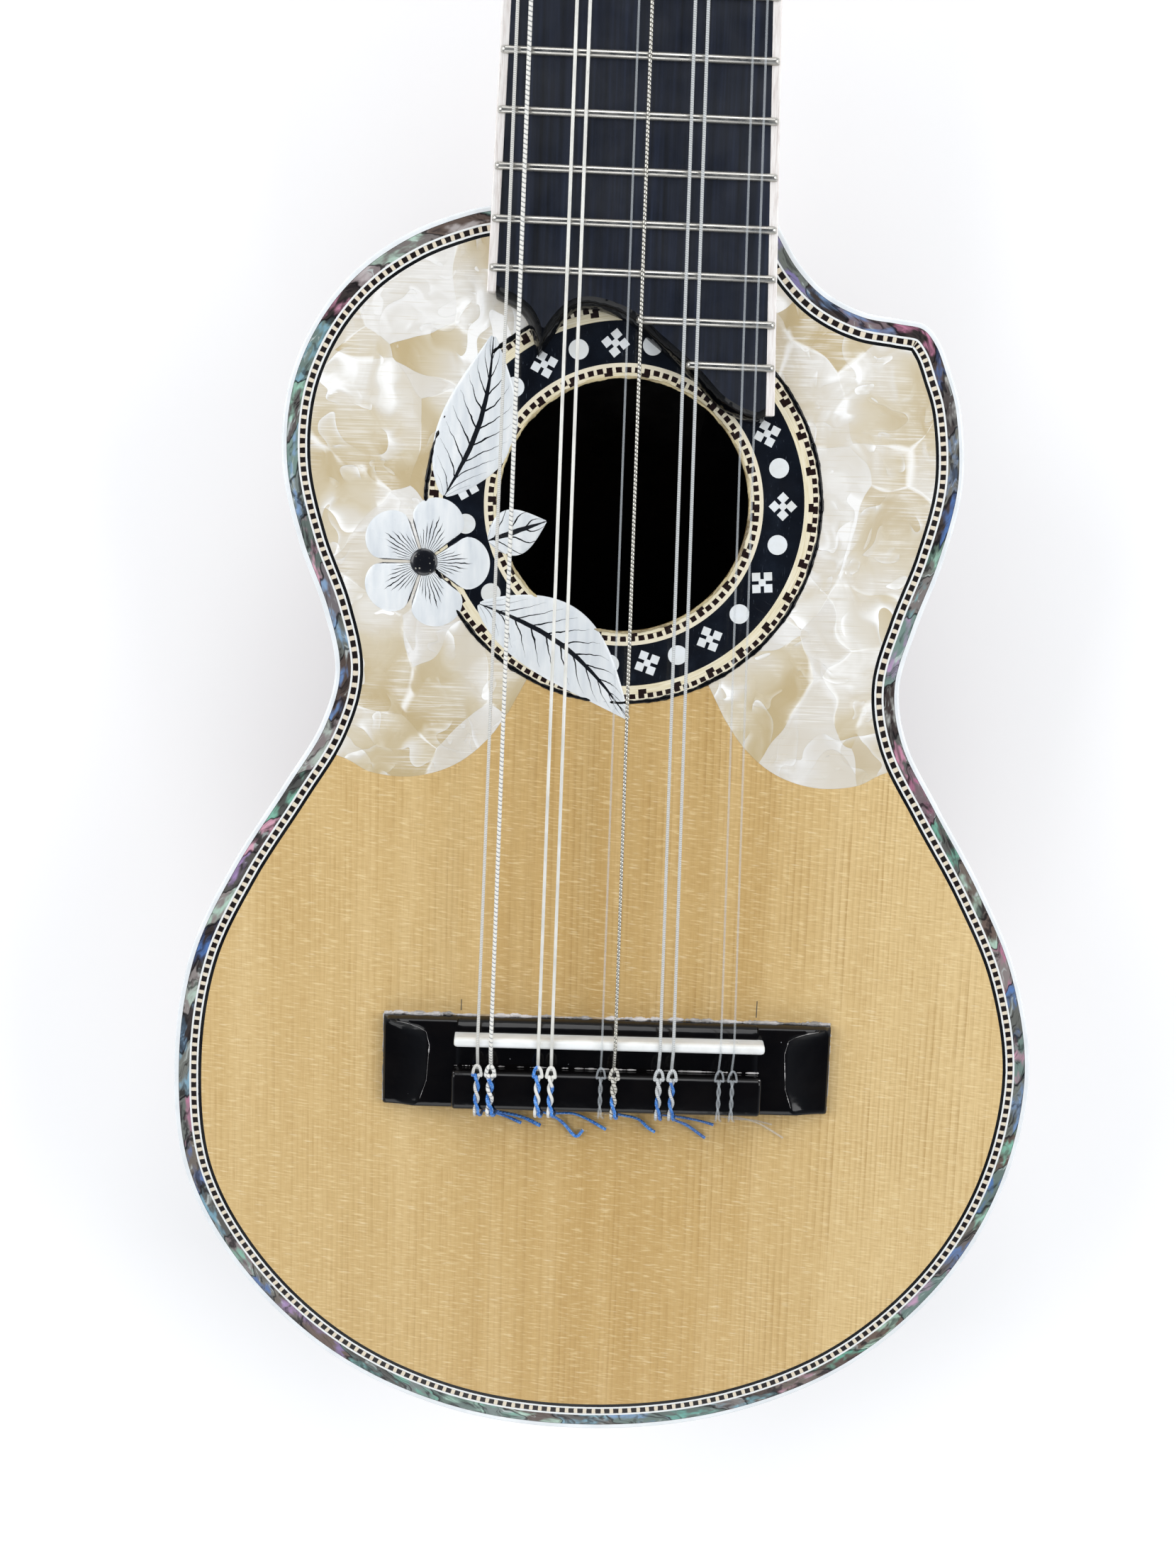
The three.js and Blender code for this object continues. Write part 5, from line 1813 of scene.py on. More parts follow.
@dataclass
class PearlPlates(Part):
    """Two folded-shell plates that cover the upper part of the top, with a lobed lower edge.

    Args:
        form: The body's form.
        rosette_radius: Outer radius of the rosette.
        lobe_reach: Distance below the hole's middle that the lobes are measured in.
        lap: How far the plates reach under the purfling.
        proud: How far they stand over the soundboard's face.
        thick: Their thickness.
    """

    form: BodyForm
    rosette_radius: float = 45.2
    lobe_reach: float = 61
    lap: float = 0.05
    proud: float = 0.05
    thick: float = 1.55

    def build(self) -> None:
        """Build both plates as fans about the hole's middle."""
        share = np.linspace(0, 1, 9)
        for side in Side:
            angle, edge = self.reach(side)
            radius = self.rosette_radius + (edge - self.rosette_radius)[:, None] * share
            flat = radius[..., None] * (arms(angle) * (side.value, 1))[:, None] + (0, self.datum.hole)
            top = at_height(flat, self.proud)
            self.shop.piece(
                f"pearl_{side.word}", plate(top, top - (0, 0, self.thick)), f"pearl {side.word}", "pearloid",
                replaces=[f"pearl_plate_{side.word}"], bevel=0.12,
            )

    def reach(self, side: Side) -> tuple[Array, Array]:
        """Angles of a plate as seen from the hole's middle, and how far it reaches at each.

        Args:
            side: Its side. The angles of the left one are mirrored.

        Returns:
            The angles and the distances.
        """
        lobes = centripetal(np.array(LOBES) * (self.datum.half_width, -self.lobe_reach), 90)
        turn = np.arctan2(lobes[:, 1], lobes[:, 0])
        last = np.argmin(turn)
        angle = np.linspace(turn[last], np.pi / 2, 260)
        bearing = angle if side is Side.RIGHT else np.pi - angle
        edge = polar(inset(self.form.outline, self.form.bare - self.lap), (0, self.datum.hole), bearing)
        far = np.linalg.norm(lobes, axis=1)
        lobe = np.interp(angle, turn[last::-1], far[last::-1])
        return angle, np.where(angle > turn[0], edge, np.minimum(edge, lobe))


@dataclass
class Spray(Part):
    """Flower spray in white bone on the left of the sound hole, with engraved veins.

    Args:
        radius: Radius of the flower.
        petals: Number of its petals.
        heart: Radius of its heart.
        from_centre: Its distance left of the middle.
        behind_hole: Its distance behind the hole's middle.
        lift: Height of a petal's and a leaf's rim.
        dome: Height of their middle over the rim.
        depth: How deep the pieces are let into the board.
    """

    radius: float = 15
    petals: int = 5
    heart: float = 3.1
    from_centre: float = 45
    behind_hole: float = 14
    lift: float = 0.1
    dome: float = 0.5
    depth: float = 0.3

    def build(self) -> None:
        """Build the flower, two leaves and a bud."""
        centre = np.array([-self.from_centre, self.datum.hole - self.behind_hole])
        petals = join(self.petal(angle, centre) for angle in bearings(self.petals))
        self.shop.piece("flower_petals", petals, "petal", "bone_inlay", replaces=["spray_flower"])
        heart = self.button(self.heart * arms(bearings(36)), 0.35, 0.95).placed(np.eye(3), (*centre, 0))
        self.shop.piece("flower_heart", heart, "flower heart", "bone_inlay")
        upper = 0.587 * (self.datum.joint - self.datum.hole)
        for name, node, degrees, length, half, bend in (
            ("leaf_upper", "spray_leaf_upper", 74, upper, 8.5, -8.5 / 3),
            ("leaf_lower", "spray_leaf_lower", -36, 44, 8.5, 4.25),
            ("bud", "spray_bud", 20, 14, 5, 0),
        ):
            angle = math.radians(degrees)
            foot = centre + (self.radius + 0.3) * np.array([math.cos(angle), math.sin(angle)])
            shape = self.leaf(length, half, bend).placed(spin("Z", angle), (*foot, 0))
            self.shop.piece(name, shape, "leaf", "bone_inlay", replaces=[node])

    def petal(self, angle: float, centre: Array) -> Shape:
        """Domed petal between two others, its edge the flower's outline.

        Args:
            angle: Direction of its middle in radians.
            centre: Middle of the flower.

        Returns:
            The petal.
        """
        along, across = np.linspace(0, 1, 19)[:, None], np.linspace(-1, 1, 25)
        turn, foot = across * (math.pi / self.petals), 2.6
        outline = self.radius * (0.62 + 0.38 * np.sqrt(np.abs(np.cos(self.petals * turn / 2))))
        reach = foot + (outline - foot) * along
        gap = np.clip(0.32 / reach, 0, 0.1)
        flat = reach[..., None] * arms(angle + turn * (1 - gap * self.petals / math.pi)) + centre
        swell = (1 - np.abs(across) ** 3.2) ** 0.5 * (1 - along**7) ** 0.5
        lift = self.lift + self.dome * swell * (0.55 + 0.45 * np.sin(math.pi * along))
        top, bottom = at_height(flat, lift), at_height(flat, -self.depth)
        return plate(top, bottom, along[:, 0] * self.radius, across * 6)

    def leaf(self, length: float, half: float, bend: float) -> Shape:
        """Domed pointed leaf along the x axis, bent to one side.

        Args:
            length: Its length.
            half: Half its width.
            bend: How far its middle is bent aside.

        Returns:
            The leaf.
        """
        share, across = np.linspace(0, 1, 41)[:, None], np.linspace(-1, 1, 25)
        fullness = np.sin(np.pi * share**0.8)
        width = half * fullness + 0.25
        flat = space(share * length, across * width + bend * np.sin(np.pi * share))
        crease = 0.16 * np.exp(-((across * width / 0.9) ** 2))
        lift = self.lift + self.dome * (1 - np.abs(across) ** 3) ** 0.5 * fullness**0.5 - crease
        return plate(at_height(flat, lift), at_height(flat, -self.depth), share[:, 0] * length, across * half)

    def button(self, outline: Array, rim: float, top: float) -> Shape:
        """Rounded button over an outline, from the top face down."""
        turn = np.linspace(0, np.pi / 2, 8)
        rows = [at_height(outline * math.sin(t), rim + (top - rim) * math.cos(t)) for t in turn[1:]]
        return rod(np.stack([at_height(outline * 0.05, top), *rows, at_height(outline, -self.depth)]))


@dataclass
class Neck(Part):
    """Half-round neck that swells into the heel and sits on the bowl.

    Args:
        form: The body's form.
        board: The fingerboard's form.
        depth_at_nut: Depth of the neck at the nut.
        depth_at_body: Depth of the neck before it swells.
        heel_depth: Depth of the heel on the bowl.
        heel_length: Length over which it swells.
        roundness: Power of the section's rounding.
        nut_thickness: Thickness of the nut, behind which the neck ends.
    """

    form: BodyForm
    board: BoardForm
    depth_at_nut: float = 15
    depth_at_body: float = 18.4
    heel_depth: float = 46
    heel_length: float = 42
    roundness: float = 2.3
    nut_thickness: float = 5

    @property
    def end(self) -> float:
        """Place of the neck's end along the strings."""
        return self.datum.scale + self.nut_thickness

    def build(self) -> None:
        """Build the neck from where each of its lines leaves the bowl up to the head."""
        angle = np.linspace(0, np.pi, 65)
        start = self.leave_bowl(angle)
        y = start + (self.end - start) * np.linspace(0, 1, 90)[:, None] ** 1.6
        shape = rod(self.section(y, angle), y[:, 32], np.append(angle, 0) * 20)
        self.shop.piece("neck_shaft", shape, "neck wood", "neck_wood", replaces=["neck"], sharp=50)

    def section(self, y: Array, angle: Array) -> Array:
        """Points of the neck at places along it and directions round it.

        Args:
            y: Places along.
            angle: Directions round it in radians, from the right under it to the left.

        Returns:
            The points.
        """
        start = self.datum.joint + SEAT
        slope = (self.depth_at_nut - self.depth_at_body) / (self.end - start)
        plain = self.depth_at_body + slope * (y - start)
        curve = centripetal(np.array(HEEL), 80)
        swell = np.interp((y - start) / self.heel_length, curve[:, 0], curve[:, 1])
        depth = plain + (self.heel_depth - plain) * swell
        flat = arms(angle)
        across, down = np.moveaxis(np.sign(flat) * np.abs(flat) ** (2 / self.roundness), -1, 0)
        return space(across * self.board.half_width(y), y, -down * depth)

    def leave_bowl(self, angle: Array) -> Array:
        """Place along the neck where the line in each direction leaves the bowl, found by halving.

        Args:
            angle: Directions round the neck in radians.

        Returns:
            A place for each direction.
        """
        low, high = (np.full(angle.shape, self.datum.joint + step) for step in (-38.0, 2.0))
        for _ in range(24):
            middle = (low + high) / 2
            inside = self.form.holds(self.section(middle, angle))
            low, high = np.where(inside, middle, low), np.where(inside, high, middle)
        return low - 0.15


@dataclass
class Fingerboard(Part):
    """Black board with a waved end, its side strips and its frets.

    Args:
        board: Its form.
        last_fret_room: Least distance of a fret from the waved end's tip.
        fret_half: Half the width of a fret.
        fret_slant: How far a fret runs back towards its right end, against its length.
        fret_height: Height of a fret.
        sunk: How far its foot is let into the board.
        strip_lift: How far the side strips stand over the board.
        lip: Distances from the waved end and heights of the sloping lip along it.
    """

    board: BoardForm
    last_fret_room: float = 12
    fret_half: float = 0.9
    fret_slant: float = 0.0085
    fret_height: float = 1.05
    sunk: float = 0.05
    strip_lift: float = 0.2
    lip: tuple[tuple[float, float], ...] = ((0, 1.2), (0.35, 2.3), (0.9, 3.6), (1.6, 4.6), (2.5, 5))

    @property
    def nut(self) -> float:
        """Place where the board ends at the nut."""
        return self.datum.scale - SEAT

    def build(self) -> None:
        """Build the board, the strips and the frets."""
        self.build_board()
        self.shop.piece(
            "side_strips", join(self.side_strip(side) for side in Side), "side strip", "bone_inlay",
            replaces=["frets_and_side_strips"], bevel=0.3,
        )
        low = self.board.end[:, 1].min() + self.last_fret_room
        count = int(12 * math.log2(self.datum.scale / low))
        self.shop.piece(
            "frets", join(self.fret_bar(number) for number in range(1, count + 1)), "fret wire",
            "nickel_silver", replaces=["frets_and_side_strips"], sharp=50,
        )

    def build_board(self) -> None:
        """Build the board as a plate up to the nut, and the sloping glossy lip along its waved end."""
        outer, top = self.board.end, self.board.top
        far = [(60, outer[-1, 1]), (60, self.nut), (-60, self.nut), (-60, outer[0, 1])]
        frame = np.vstack([outer, far])
        curves = [self.within(inset(frame, step)[: len(outer)]) for step, _ in self.lip]
        rows = [at_height(curve, height) for curve, (_, height) in zip(curves, self.lip)]
        rows = [at_height(curves[0], 0), *rows, at_height(curves[-1], 0)]
        lip = rod(np.stack(rows, 1))
        # The lip's white specks are partly painted glints.
        self.shop.piece("board_lip", lip, "lip gloss", "ebony", replaces=["fingerboard"], sharp=50)
        start = curves[-1]
        narrowing = self.board.inner(self.nut) / self.board.inner(start[0, 1])
        finish = space(start[:, 0] * narrowing, self.nut)
        flat = start + (finish - start) * np.linspace(0, 1, 24)[:, None, None]
        face = plate(at_height(flat, top), at_height(flat, 0))
        self.shop.piece("board", face, "fingerboard", "ebony", replaces=["fingerboard"], bevel=0.2)

    def within(self, curve: Array) -> Array:
        """Curve kept between the side strips."""
        limit = self.board.inner(curve[:, 1])
        return space(np.clip(curve[:, 0], -limit, limit), curve[:, 1])

    def side_strip(self, side: Side) -> Shape:
        """Bright strip along one side of the board.

        Args:
            side: Its side.

        Returns:
            The strip.
        """
        y = np.linspace(self.board.end[0 if side is Side.LEFT else -1, 1], self.nut, 30)
        outer = side.value * self.board.half_width(y)
        inner = outer - side.value * (self.board.strip - 0.02)
        height = self.board.top + self.strip_lift
        corners = ((outer, 0), (outer, height), (inner, height), (inner, 0))
        rows = np.stack([space(x, y, z) for x, z in corners], 1)
        return rod(rows, y, np.array([0, 5, 7, 12, 19.0]))

    def fret_bar(self, number: int) -> Shape:
        """Crowned fret with rounded ends, as far left as the waved end allows.

        Args:
            number: Number of the fret from the nut.

        Returns:
            The fret.
        """
        y = self.board.fret(number)
        width = self.board.half_width(y) - 0.25
        foot = y - 2 * self.fret_half
        start = self.board.cut_by_wave(foot) if foot < self.board.end[0, 1] else -width
        ease = np.array([0, 0.08, 0.25, 0.55, 1.0])
        x = np.concatenate([start + ease, width - ease[::-1]])
        size = np.sqrt(np.clip(1 - (1 - ease) ** 2, 0.02, 1))
        size = np.concatenate([size, size[::-1]])[:, None]
        turn = np.linspace(0, np.pi, 13)
        along = self.fret_half * np.cos(turn) * (0.5 + 0.5 * size)
        up = (self.fret_height + self.sunk) * np.sin(turn) ** 0.8 * size
        slanted = y + along - self.fret_slant * (x[:, None] + width)
        return rod(space(x[:, None], slanted, self.board.top - self.sunk + up), x, np.append(turn, 0))


@dataclass
class Bridge(Part):
    """Bridge with scooped wings, its tie block and the saddle.

    Args:
        half_length: Half its length.
        front: How far it reaches before the saddle line.
        back: How far it reaches behind.
        height: Height of its middle.
        tip: Height of its tips.
        wing: Where its wings begin.
        shelf: Half the length of the raised middle that the block stands on.
        block: The tie block's half length, front, back and top.
        saddle: The saddle's half length, half thickness and top.
        aside: How far it is glued to the right of the middle.
        saddle_aside: The same for the saddle.
        scoop_y: Places along, of points on the line where a wing begins to fall.
        scoop_x: Their distances from the middle.
        ticks: Place across and both ends of each pencil tick on the soundboard.
    """

    half_length: float = 53
    front: float = 4
    back: float = 17.5
    height: float = 4
    tip: float = 2.4
    wing: float = 42.5
    shelf: float = 35.5
    block: tuple[float, float, float, float] = (36.5, 7.3, 16.8, 8)
    saddle: tuple[float, float, float] = (36.35, 1.2, 8.9)
    aside: float = 0.5
    saddle_aside: float = 0.85
    scoop_y: tuple[float, ...] = (-17.6, -15.8, -11, -2.3, 1.0, 2.0, 3.0, 3.7)
    scoop_x: tuple[float, ...] = (45.6, 44.2, 42.6, 42.0, 42.8, 44.4, 47.4, 51.6)
    ticks: tuple[tuple[float, float, float], ...] = ((-34.5, 4.3, 7.0), (35.7, 4.4, 8.5))

    def seated(self, shape: Shape, aside: float) -> Shape:
        """Shape moved to where the bridge is glued: behind the scale's line and a little aside."""
        return shape.placed(np.eye(3), (aside, -self.datum.set_back, 0))

    def build(self) -> None:
        """Build the base, the block, the saddle, the glue along the front with painted glints on the wings
        and the block, and the marks beside it.
        """
        for name, shape in (("bridge_base", self.base()), ("tie_block", self.tie_block())):
            seated = self.seated(shape, self.aside)
            self.shop.piece(name, seated, "black gloss", "ebony", replaces=["bridge"], sharp=40)
        bone = self.seated(self.saddle_bone(), self.saddle_aside)
        self.shop.piece("saddle_bone", bone, "bone", "bone", replaces=["saddle"])
        # Pale beads: glue and painted glints.
        self.shop.piece("glue_bead", self.seated(join(self.glue()), self.aside), "glue", "ebony", sharp=60)
        ticks = join(
            prism(np.array([(x, near), (x + 0.22, near), (x + 0.26, far), (x + 0.06, far)]), -0.2, 0.01)
            for x, near, far in self.ticks
        )
        self.shop.piece("pencil_ticks", ticks, "pencil", "spruce")

    def saddle_bone(self) -> Shape:
        """Saddle with a round crown and rounded ends."""
        half, thick, top = self.saddle
        ends, sizes = np.array([0, 0.25, 0.8]), (0.6, 0.88, 1)
        inner = half - ends[-1]
        x = np.concatenate([ends[:2] - half, np.linspace(-inner, inner, 30), half - ends[1::-1]])
        size = np.interp(half - np.abs(x), ends, sizes)[:, None]
        turn = np.linspace(0, np.pi, 15)
        y = np.concatenate([thick * np.cos(turn) * size, np.full((len(x), 2), (-thick, thick))], 1)
        z = np.concatenate([top - thick + thick * np.sin(turn) * size, np.full((len(x), 2), 2.0)], 1)
        return rod(space(x[:, None], y, z))

    def base(self) -> Shape:
        """One plate whose upper face falls to the wings and to its edges."""
        outer = np.concatenate([
            np.linspace(-self.half_length, -self.wing, 24)[:-1], np.linspace(-self.wing, -35.9, 4),
            [-35.6, -35.3],
        ])
        x = np.concatenate([outer, np.linspace(-34, 34, 20), -outer[::-1]])[:, None]
        rim = np.array([0, 0.2, 0.7, 1.4, 2.2])
        y = np.concatenate([self.front - rim, np.linspace(1, -14, 12), -self.back + rim[3::-1]])
        line = np.interp(y, self.scoop_y, self.scoop_x)
        scoop = np.clip((np.abs(x) - line) / (self.half_length - line), 0, 1)
        z = self.height - (self.height - self.tip) * (1 - (1 - scoop) ** 2)
        chamfer = np.clip(1 - (self.front - y) / 1.9, 0, 1)
        z = z + (0.16 - 1.3 * chamfer) * (np.abs(x) < self.shelf)
        for room, width in ((self.front - y, 0.7), (y + self.back, 0.7), (self.half_length - np.abs(x), 0.6)):
            z = z - 0.5 * np.clip(1 - room / width, 0, 1) ** 2
        return plate(space(x, y, z), space(x, y, 0 * z))

    def tie_block(self) -> Shape:
        """Tie block with rounded upper edges and ends."""
        half, front, back, top = self.block
        radius, end, foot, deep = 1.5, 0.9, 2.5, (back - front) / 2
        turn = np.linspace(0, np.pi / 2, 7)
        far = 1 - np.cos(turn)
        side = np.concatenate([[-deep], radius * far - deep])
        y = np.concatenate([side, -side[::-1]])
        rise = np.concatenate([[foot], top - radius * (1 - np.sin(turn))])
        z = np.concatenate([rise, rise[::-1]])
        x = np.concatenate([end * far - half, half - end * far[::-1]])
        shrink = end * (1 - np.sin(np.concatenate([turn, turn[::-1]])))[:, None]
        return rod(space(x[:, None], y * (1 - shrink / deep) - (front + back) / 2, z - shrink * (z > 3)))

    def glue(self) -> Iterable[Shape]:
        """Uneven pale beads: old glue along the front and the ends, partly painted glints, and painted glints
        on the wings and the block.
        """
        rng = np.random.default_rng(5)
        # Painted glints along each wing's scoop line.
        for side in Side:
            y = np.linspace(-15.5, 3.4, 90)
            line = space(side.value * np.interp(y, self.scoop_y, self.scoop_x), y, self.height)
            raw = np.convolve(rng.normal(size=94), np.ones(5) / 5, "valid")
            yield tube(line, np.clip(0.03 + 0.12 * raw, 0.02, 0.14), 8, (0, 0, 1))
        edge, block = self.half_length + 0.1, self.block[0] - 0.4
        # Glue along the front and the ends, partly painted glints; painted glints along the tie block's foot
        # and upper front edge.
        for start, end, count, mean, swing, most in (
            ((-edge, 4.15, 0.02), (edge, 4.15, 0.02), 260, 0.32, 0.6, 0.8),
            ((-edge, 4.4, 0.02), (edge, 4.4, 0.02), 260, 0.1, 0.7, 0.6),
            ((-edge, -17.4, 0.02), (-edge, 4.1, 0.02), 50, 0.2, 0.3, 0.4),
            ((edge, 4.1, 0.02), (edge, -17.4, 0.02), 50, 0.2, 0.3, 0.4),
            ((-block, -7.0, 4.1), (block, -7.0, 4.1), 240, 0.05, 0.4, 0.26),
            ((-block, -7.75, 7.3), (block, -7.75, 7.3), 240, 0.1, 0.12, 0.16),
        ):
            raw = rng.normal(size=count + 6)
            slow = np.convolve(raw, np.ones(7) / 7, "valid")
            size = np.clip(mean + swing * slow + 0.06 * raw[3:-3], 0.04, most)
            yield tube(np.linspace(start, end, count), size, 8, (0, 0, 1))


@dataclass(frozen=True)
class StringLook:
    """One string.

    Args:
        radius: Its radius.
        finish: Name of its finish.
        slot: Its material slot.
        dyed: Share of the strand after the knot's loop where its blue end begins, or None for no blue.
        tail: Places that its tail runs through on the soundboard.
    """

    radius: float
    finish: str
    slot: str
    dyed: float | None
    tail: tuple[tuple[float, float], ...]


STRINGS = tuple(StringLook(*row) for row in (
    (0.38, "fine wound", "fine_wound", 0.2, ((-26.3, -19.7), (-23.8, -21.1), (-19.4, -23.1))),
    (0.48, "white wound", "white_wound", 0.35, ((-24.7, -19.5), (-20.2, -21.0), (-14.8, -23.6))),
    (0.4, "nylon", "white_nylon", 0.0, ((-12.2, -20.2), (-9.0, -23.2), (-6.1, -26.1), (-4.5, -24.4))),
    (0.4, "nylon", "white_nylon", 0.5, ((-11.9, -19.5), (-7.1, -19.8), (-2.2, -22.4), (0.9, -24.2))),
    (0.26, "clear nylon", "clear_nylon", None, ((1.6, -19.2), (3.4, -19.9), (5.6, -20.4))),
    (0.4, "silver wound", "silver_wound", 0.7, ((4.5, -19.5), (8.2, -20.9), (11.1, -23.5), (12.7, -24.5))),
    (0.38, "grey wound", "fine_wound", 0.65, ((18.6, -19.7), (23.0, -21.1), (26.7, -22.3))),
    (0.38, "grey wound", "fine_wound", 0.35, ((17.0, -20.4), (20.7, -22.8), (24.8, -25.7))),
    (0.26, "clear nylon", "clear_nylon", None, ((32.2, -20.0), (35.9, -20.5), (40.8, -21.9))),
    (0.26, "clear nylon", "clear_nylon", None, ((35.5, -20.3), (39.3, -22.6), (43.6, -25.2))),
))


@dataclass
class StringLines:
    """Where the ten strings run.

    Args:
        datum: The frame's sizes.
        saddle_top: Height of the saddle.
        nut_floor: Height of the nut's slots.
        nut_back: Thickness of the nut.
        at_saddle: Spacing of the pairs and of the strings in one, at the saddle.
        at_nut: The same at the nut.
        roller: Radius of a string post.
        first_post: Place of the first post along the head.
        post_pitch: Distance between posts.
        post_depth: Depth of the posts' axes under the head's face.
    """

    datum: Datum
    saddle_top: float = 8.9
    nut_floor: float = 6.3
    nut_back: float = 5
    at_saddle: tuple[float, float] = (14.2, 3.1)
    at_nut: tuple[float, float] = (11.6, 2.6)
    roller: float = 3
    first_post: float = 34
    post_pitch: float = 25
    post_depth: float = 9.25

    def across(self, string: int, spacing: tuple[float, float]) -> float:
        """Place of a string across. The middle pair lies a little to the right."""
        pair, place = string // 2 - 2, string % 2 - 0.5
        return pair * spacing[0] + place * spacing[1] + (0.6 if pair == 0 else 0)

    def post(self, string: int) -> tuple[Side, float]:
        """Side of a string's post and its place along the head."""
        left = string < 5
        number = string if left else 9 - string
        return (Side.LEFT if left else Side.RIGHT), self.first_post + number * self.post_pitch

    def head_frame(self) -> tuple[Array, Array]:
        """Turn and place of the tilted head."""
        return spin("X", -HEAD_TILT), np.array([0, self.datum.scale + self.nut_back + SEAT, 0])

    def path(self, string: int) -> Array:
        """Path of a string from its post over the nut and saddle into the tie block.

        Args:
            string: Number of the string from the left, from 0.

        Returns:
            The points of the path.
        """
        radius, rest = STRINGS[string].radius, 0.02
        turn, move = self.head_frame()
        nut_x, saddle_x = self.across(string, self.at_nut), self.across(string, self.at_saddle)
        level, crown = self.nut_floor + radius + rest, self.saddle_top + radius + rest
        nut = np.array([nut_x, move[1], level])
        near = (nut - move) @ turn
        side, y = self.post(string)
        reach = self.roller + 0.05 + radius
        away = np.array([near[1] - y, near[2] + self.post_depth])
        meet = math.atan2(*away) + math.acos(reach / np.linalg.norm(away))
        turns = np.linspace(2, 0, 61)
        angle, pitch = meet + 2 * np.pi * turns, 2 * radius + 0.45
        x = side.value * (13.5 + pitch * (1 - turns))
        coil = space(x, y + reach * np.sin(angle), reach * np.cos(angle) - self.post_depth) @ turn.T + move
        sounding = np.linspace((nut_x, self.datum.scale - SEAT, level), (saddle_x, 1.3, crown - 0.12), 60)
        saddle = [(0, crown), (-1.3, crown - 0.25), (-7.0, 5.35), (-9, 5.2)]
        down = np.column_stack([np.full(len(saddle), saddle_x), saddle])
        return np.vstack([coil, np.linspace(coil[-1], nut, 12)[1:], sounding, down])


@dataclass
class Strings(Part):
    """The ten strings with their knots at the bridge.

    Args:
        lines: Where they run.
        block_top: Height of the tie block.
    """

    lines: StringLines
    block_top: float = 8

    def build(self) -> None:
        """Build every string and its knot, whose lay along is positive where it is blue."""
        for string, look in enumerate(STRINGS):
            name = f"string_{string + 1}"
            run = self.seated(tube(self.lines.path(string), look.radius))
            self.shop.piece(name + "_run", run, look.finish, look.slot, replaces=[name], sharp=60)
            path = self.knot(string)
            knot = self.seated(tube(path, look.radius * 0.98))
            loop = lengths(path)[np.argmax(path[:, 1])]
            blue_from = 1e3 if look.dyed is None else loop + look.dyed * 12
            knot.lay = [part - (blue_from, 0) for part in knot.lay]
            self.shop.piece(name + "_knot", knot, look.finish + " dyed", look.slot, replaces=[name], sharp=60)

    def seated(self, shape: Shape) -> Shape:
        """Shape drawn back with the saddle, by less towards the nut, and not at all where its tails lie."""
        y = shape.points[:, 1]
        back = np.clip(1 - y / self.datum.scale, 0, 1) * np.clip((y + 22) / 4, 0, 1)
        return Shape(shape.points + space(0, -self.datum.set_back * back, 0), shape.faces, shape.lay)

    def knot(self, string: int) -> Array:
        """Path from the tie block's back over its top, round the string, twisted back and to its tail.

        Args:
            string: Number of the string from the left, from 0.

        Returns:
            The points of the path.
        """
        radius, x = STRINGS[string].radius, self.lines.across(string, self.lines.at_saddle)
        orbit, turns = radius + 0.03, np.linspace(0, 1, 40)
        level, y = self.block_top + orbit + radius + 0.05, -16.2 + 8.6 * turns
        middle = space(x, y, level)
        way = arms(3 * np.pi * turns)
        swing = orbit * space(way[:, 0], 0, way[:, 1])
        first, second = middle - swing, middle + swing
        arm = first[-1] - middle[-1]
        bend = np.linspace(-0.15, 1.15, 21)[:, None] * np.pi
        loop = middle[-1] + 0.95 * np.cos(bend) * arm / np.linalg.norm(arm)
        loop = loop + (2.6 - 0.5 * radius) * np.sin(bend) * (0, 1, 0.12)
        tail = at_height(np.array(STRINGS[string].tail), 0.35 + radius)
        tail[0, 2] = 1.2 + radius
        over = np.array([(0, -15.5, 5.2), (0, -17.0, 5.2), (-0.2, -18.1, 5.7), (-0.3, -18.0, 7.3)])
        down = np.array([(0.9, -18.1, 7.1), (1.1, -18.6, 4.2), (1.4, -18.9, 2.2)])
        strands = first[0] - (0, 0.5, 0), first[::3], loop[2:-2:2], second[::-3], second[0] - (0, 0.7, 0)
        return centripetal(np.vstack([over + (x, 0, 0), *strands, down + (x, 0, 0), tail]), 360)


@dataclass
class Head(Part):
    """Slotted head behind the nut, with the veneer on its face."""

    def build(self) -> None:
        """Dress the head from its CAD nodes, their edges rounded."""
        for node, name, finish, slot, bevel in (
            ("headstock", "head_core", "neck wood", "neck_wood", 0.7),
            ("head_veneer", "head_face", "black gloss", "ebony", 0.35),
            ("nut", "nut_bone", "bone", "bone", 0.3),
        ):
            self.shop.piece(name, node, finish, slot, replaces=[node], bevel=bevel)


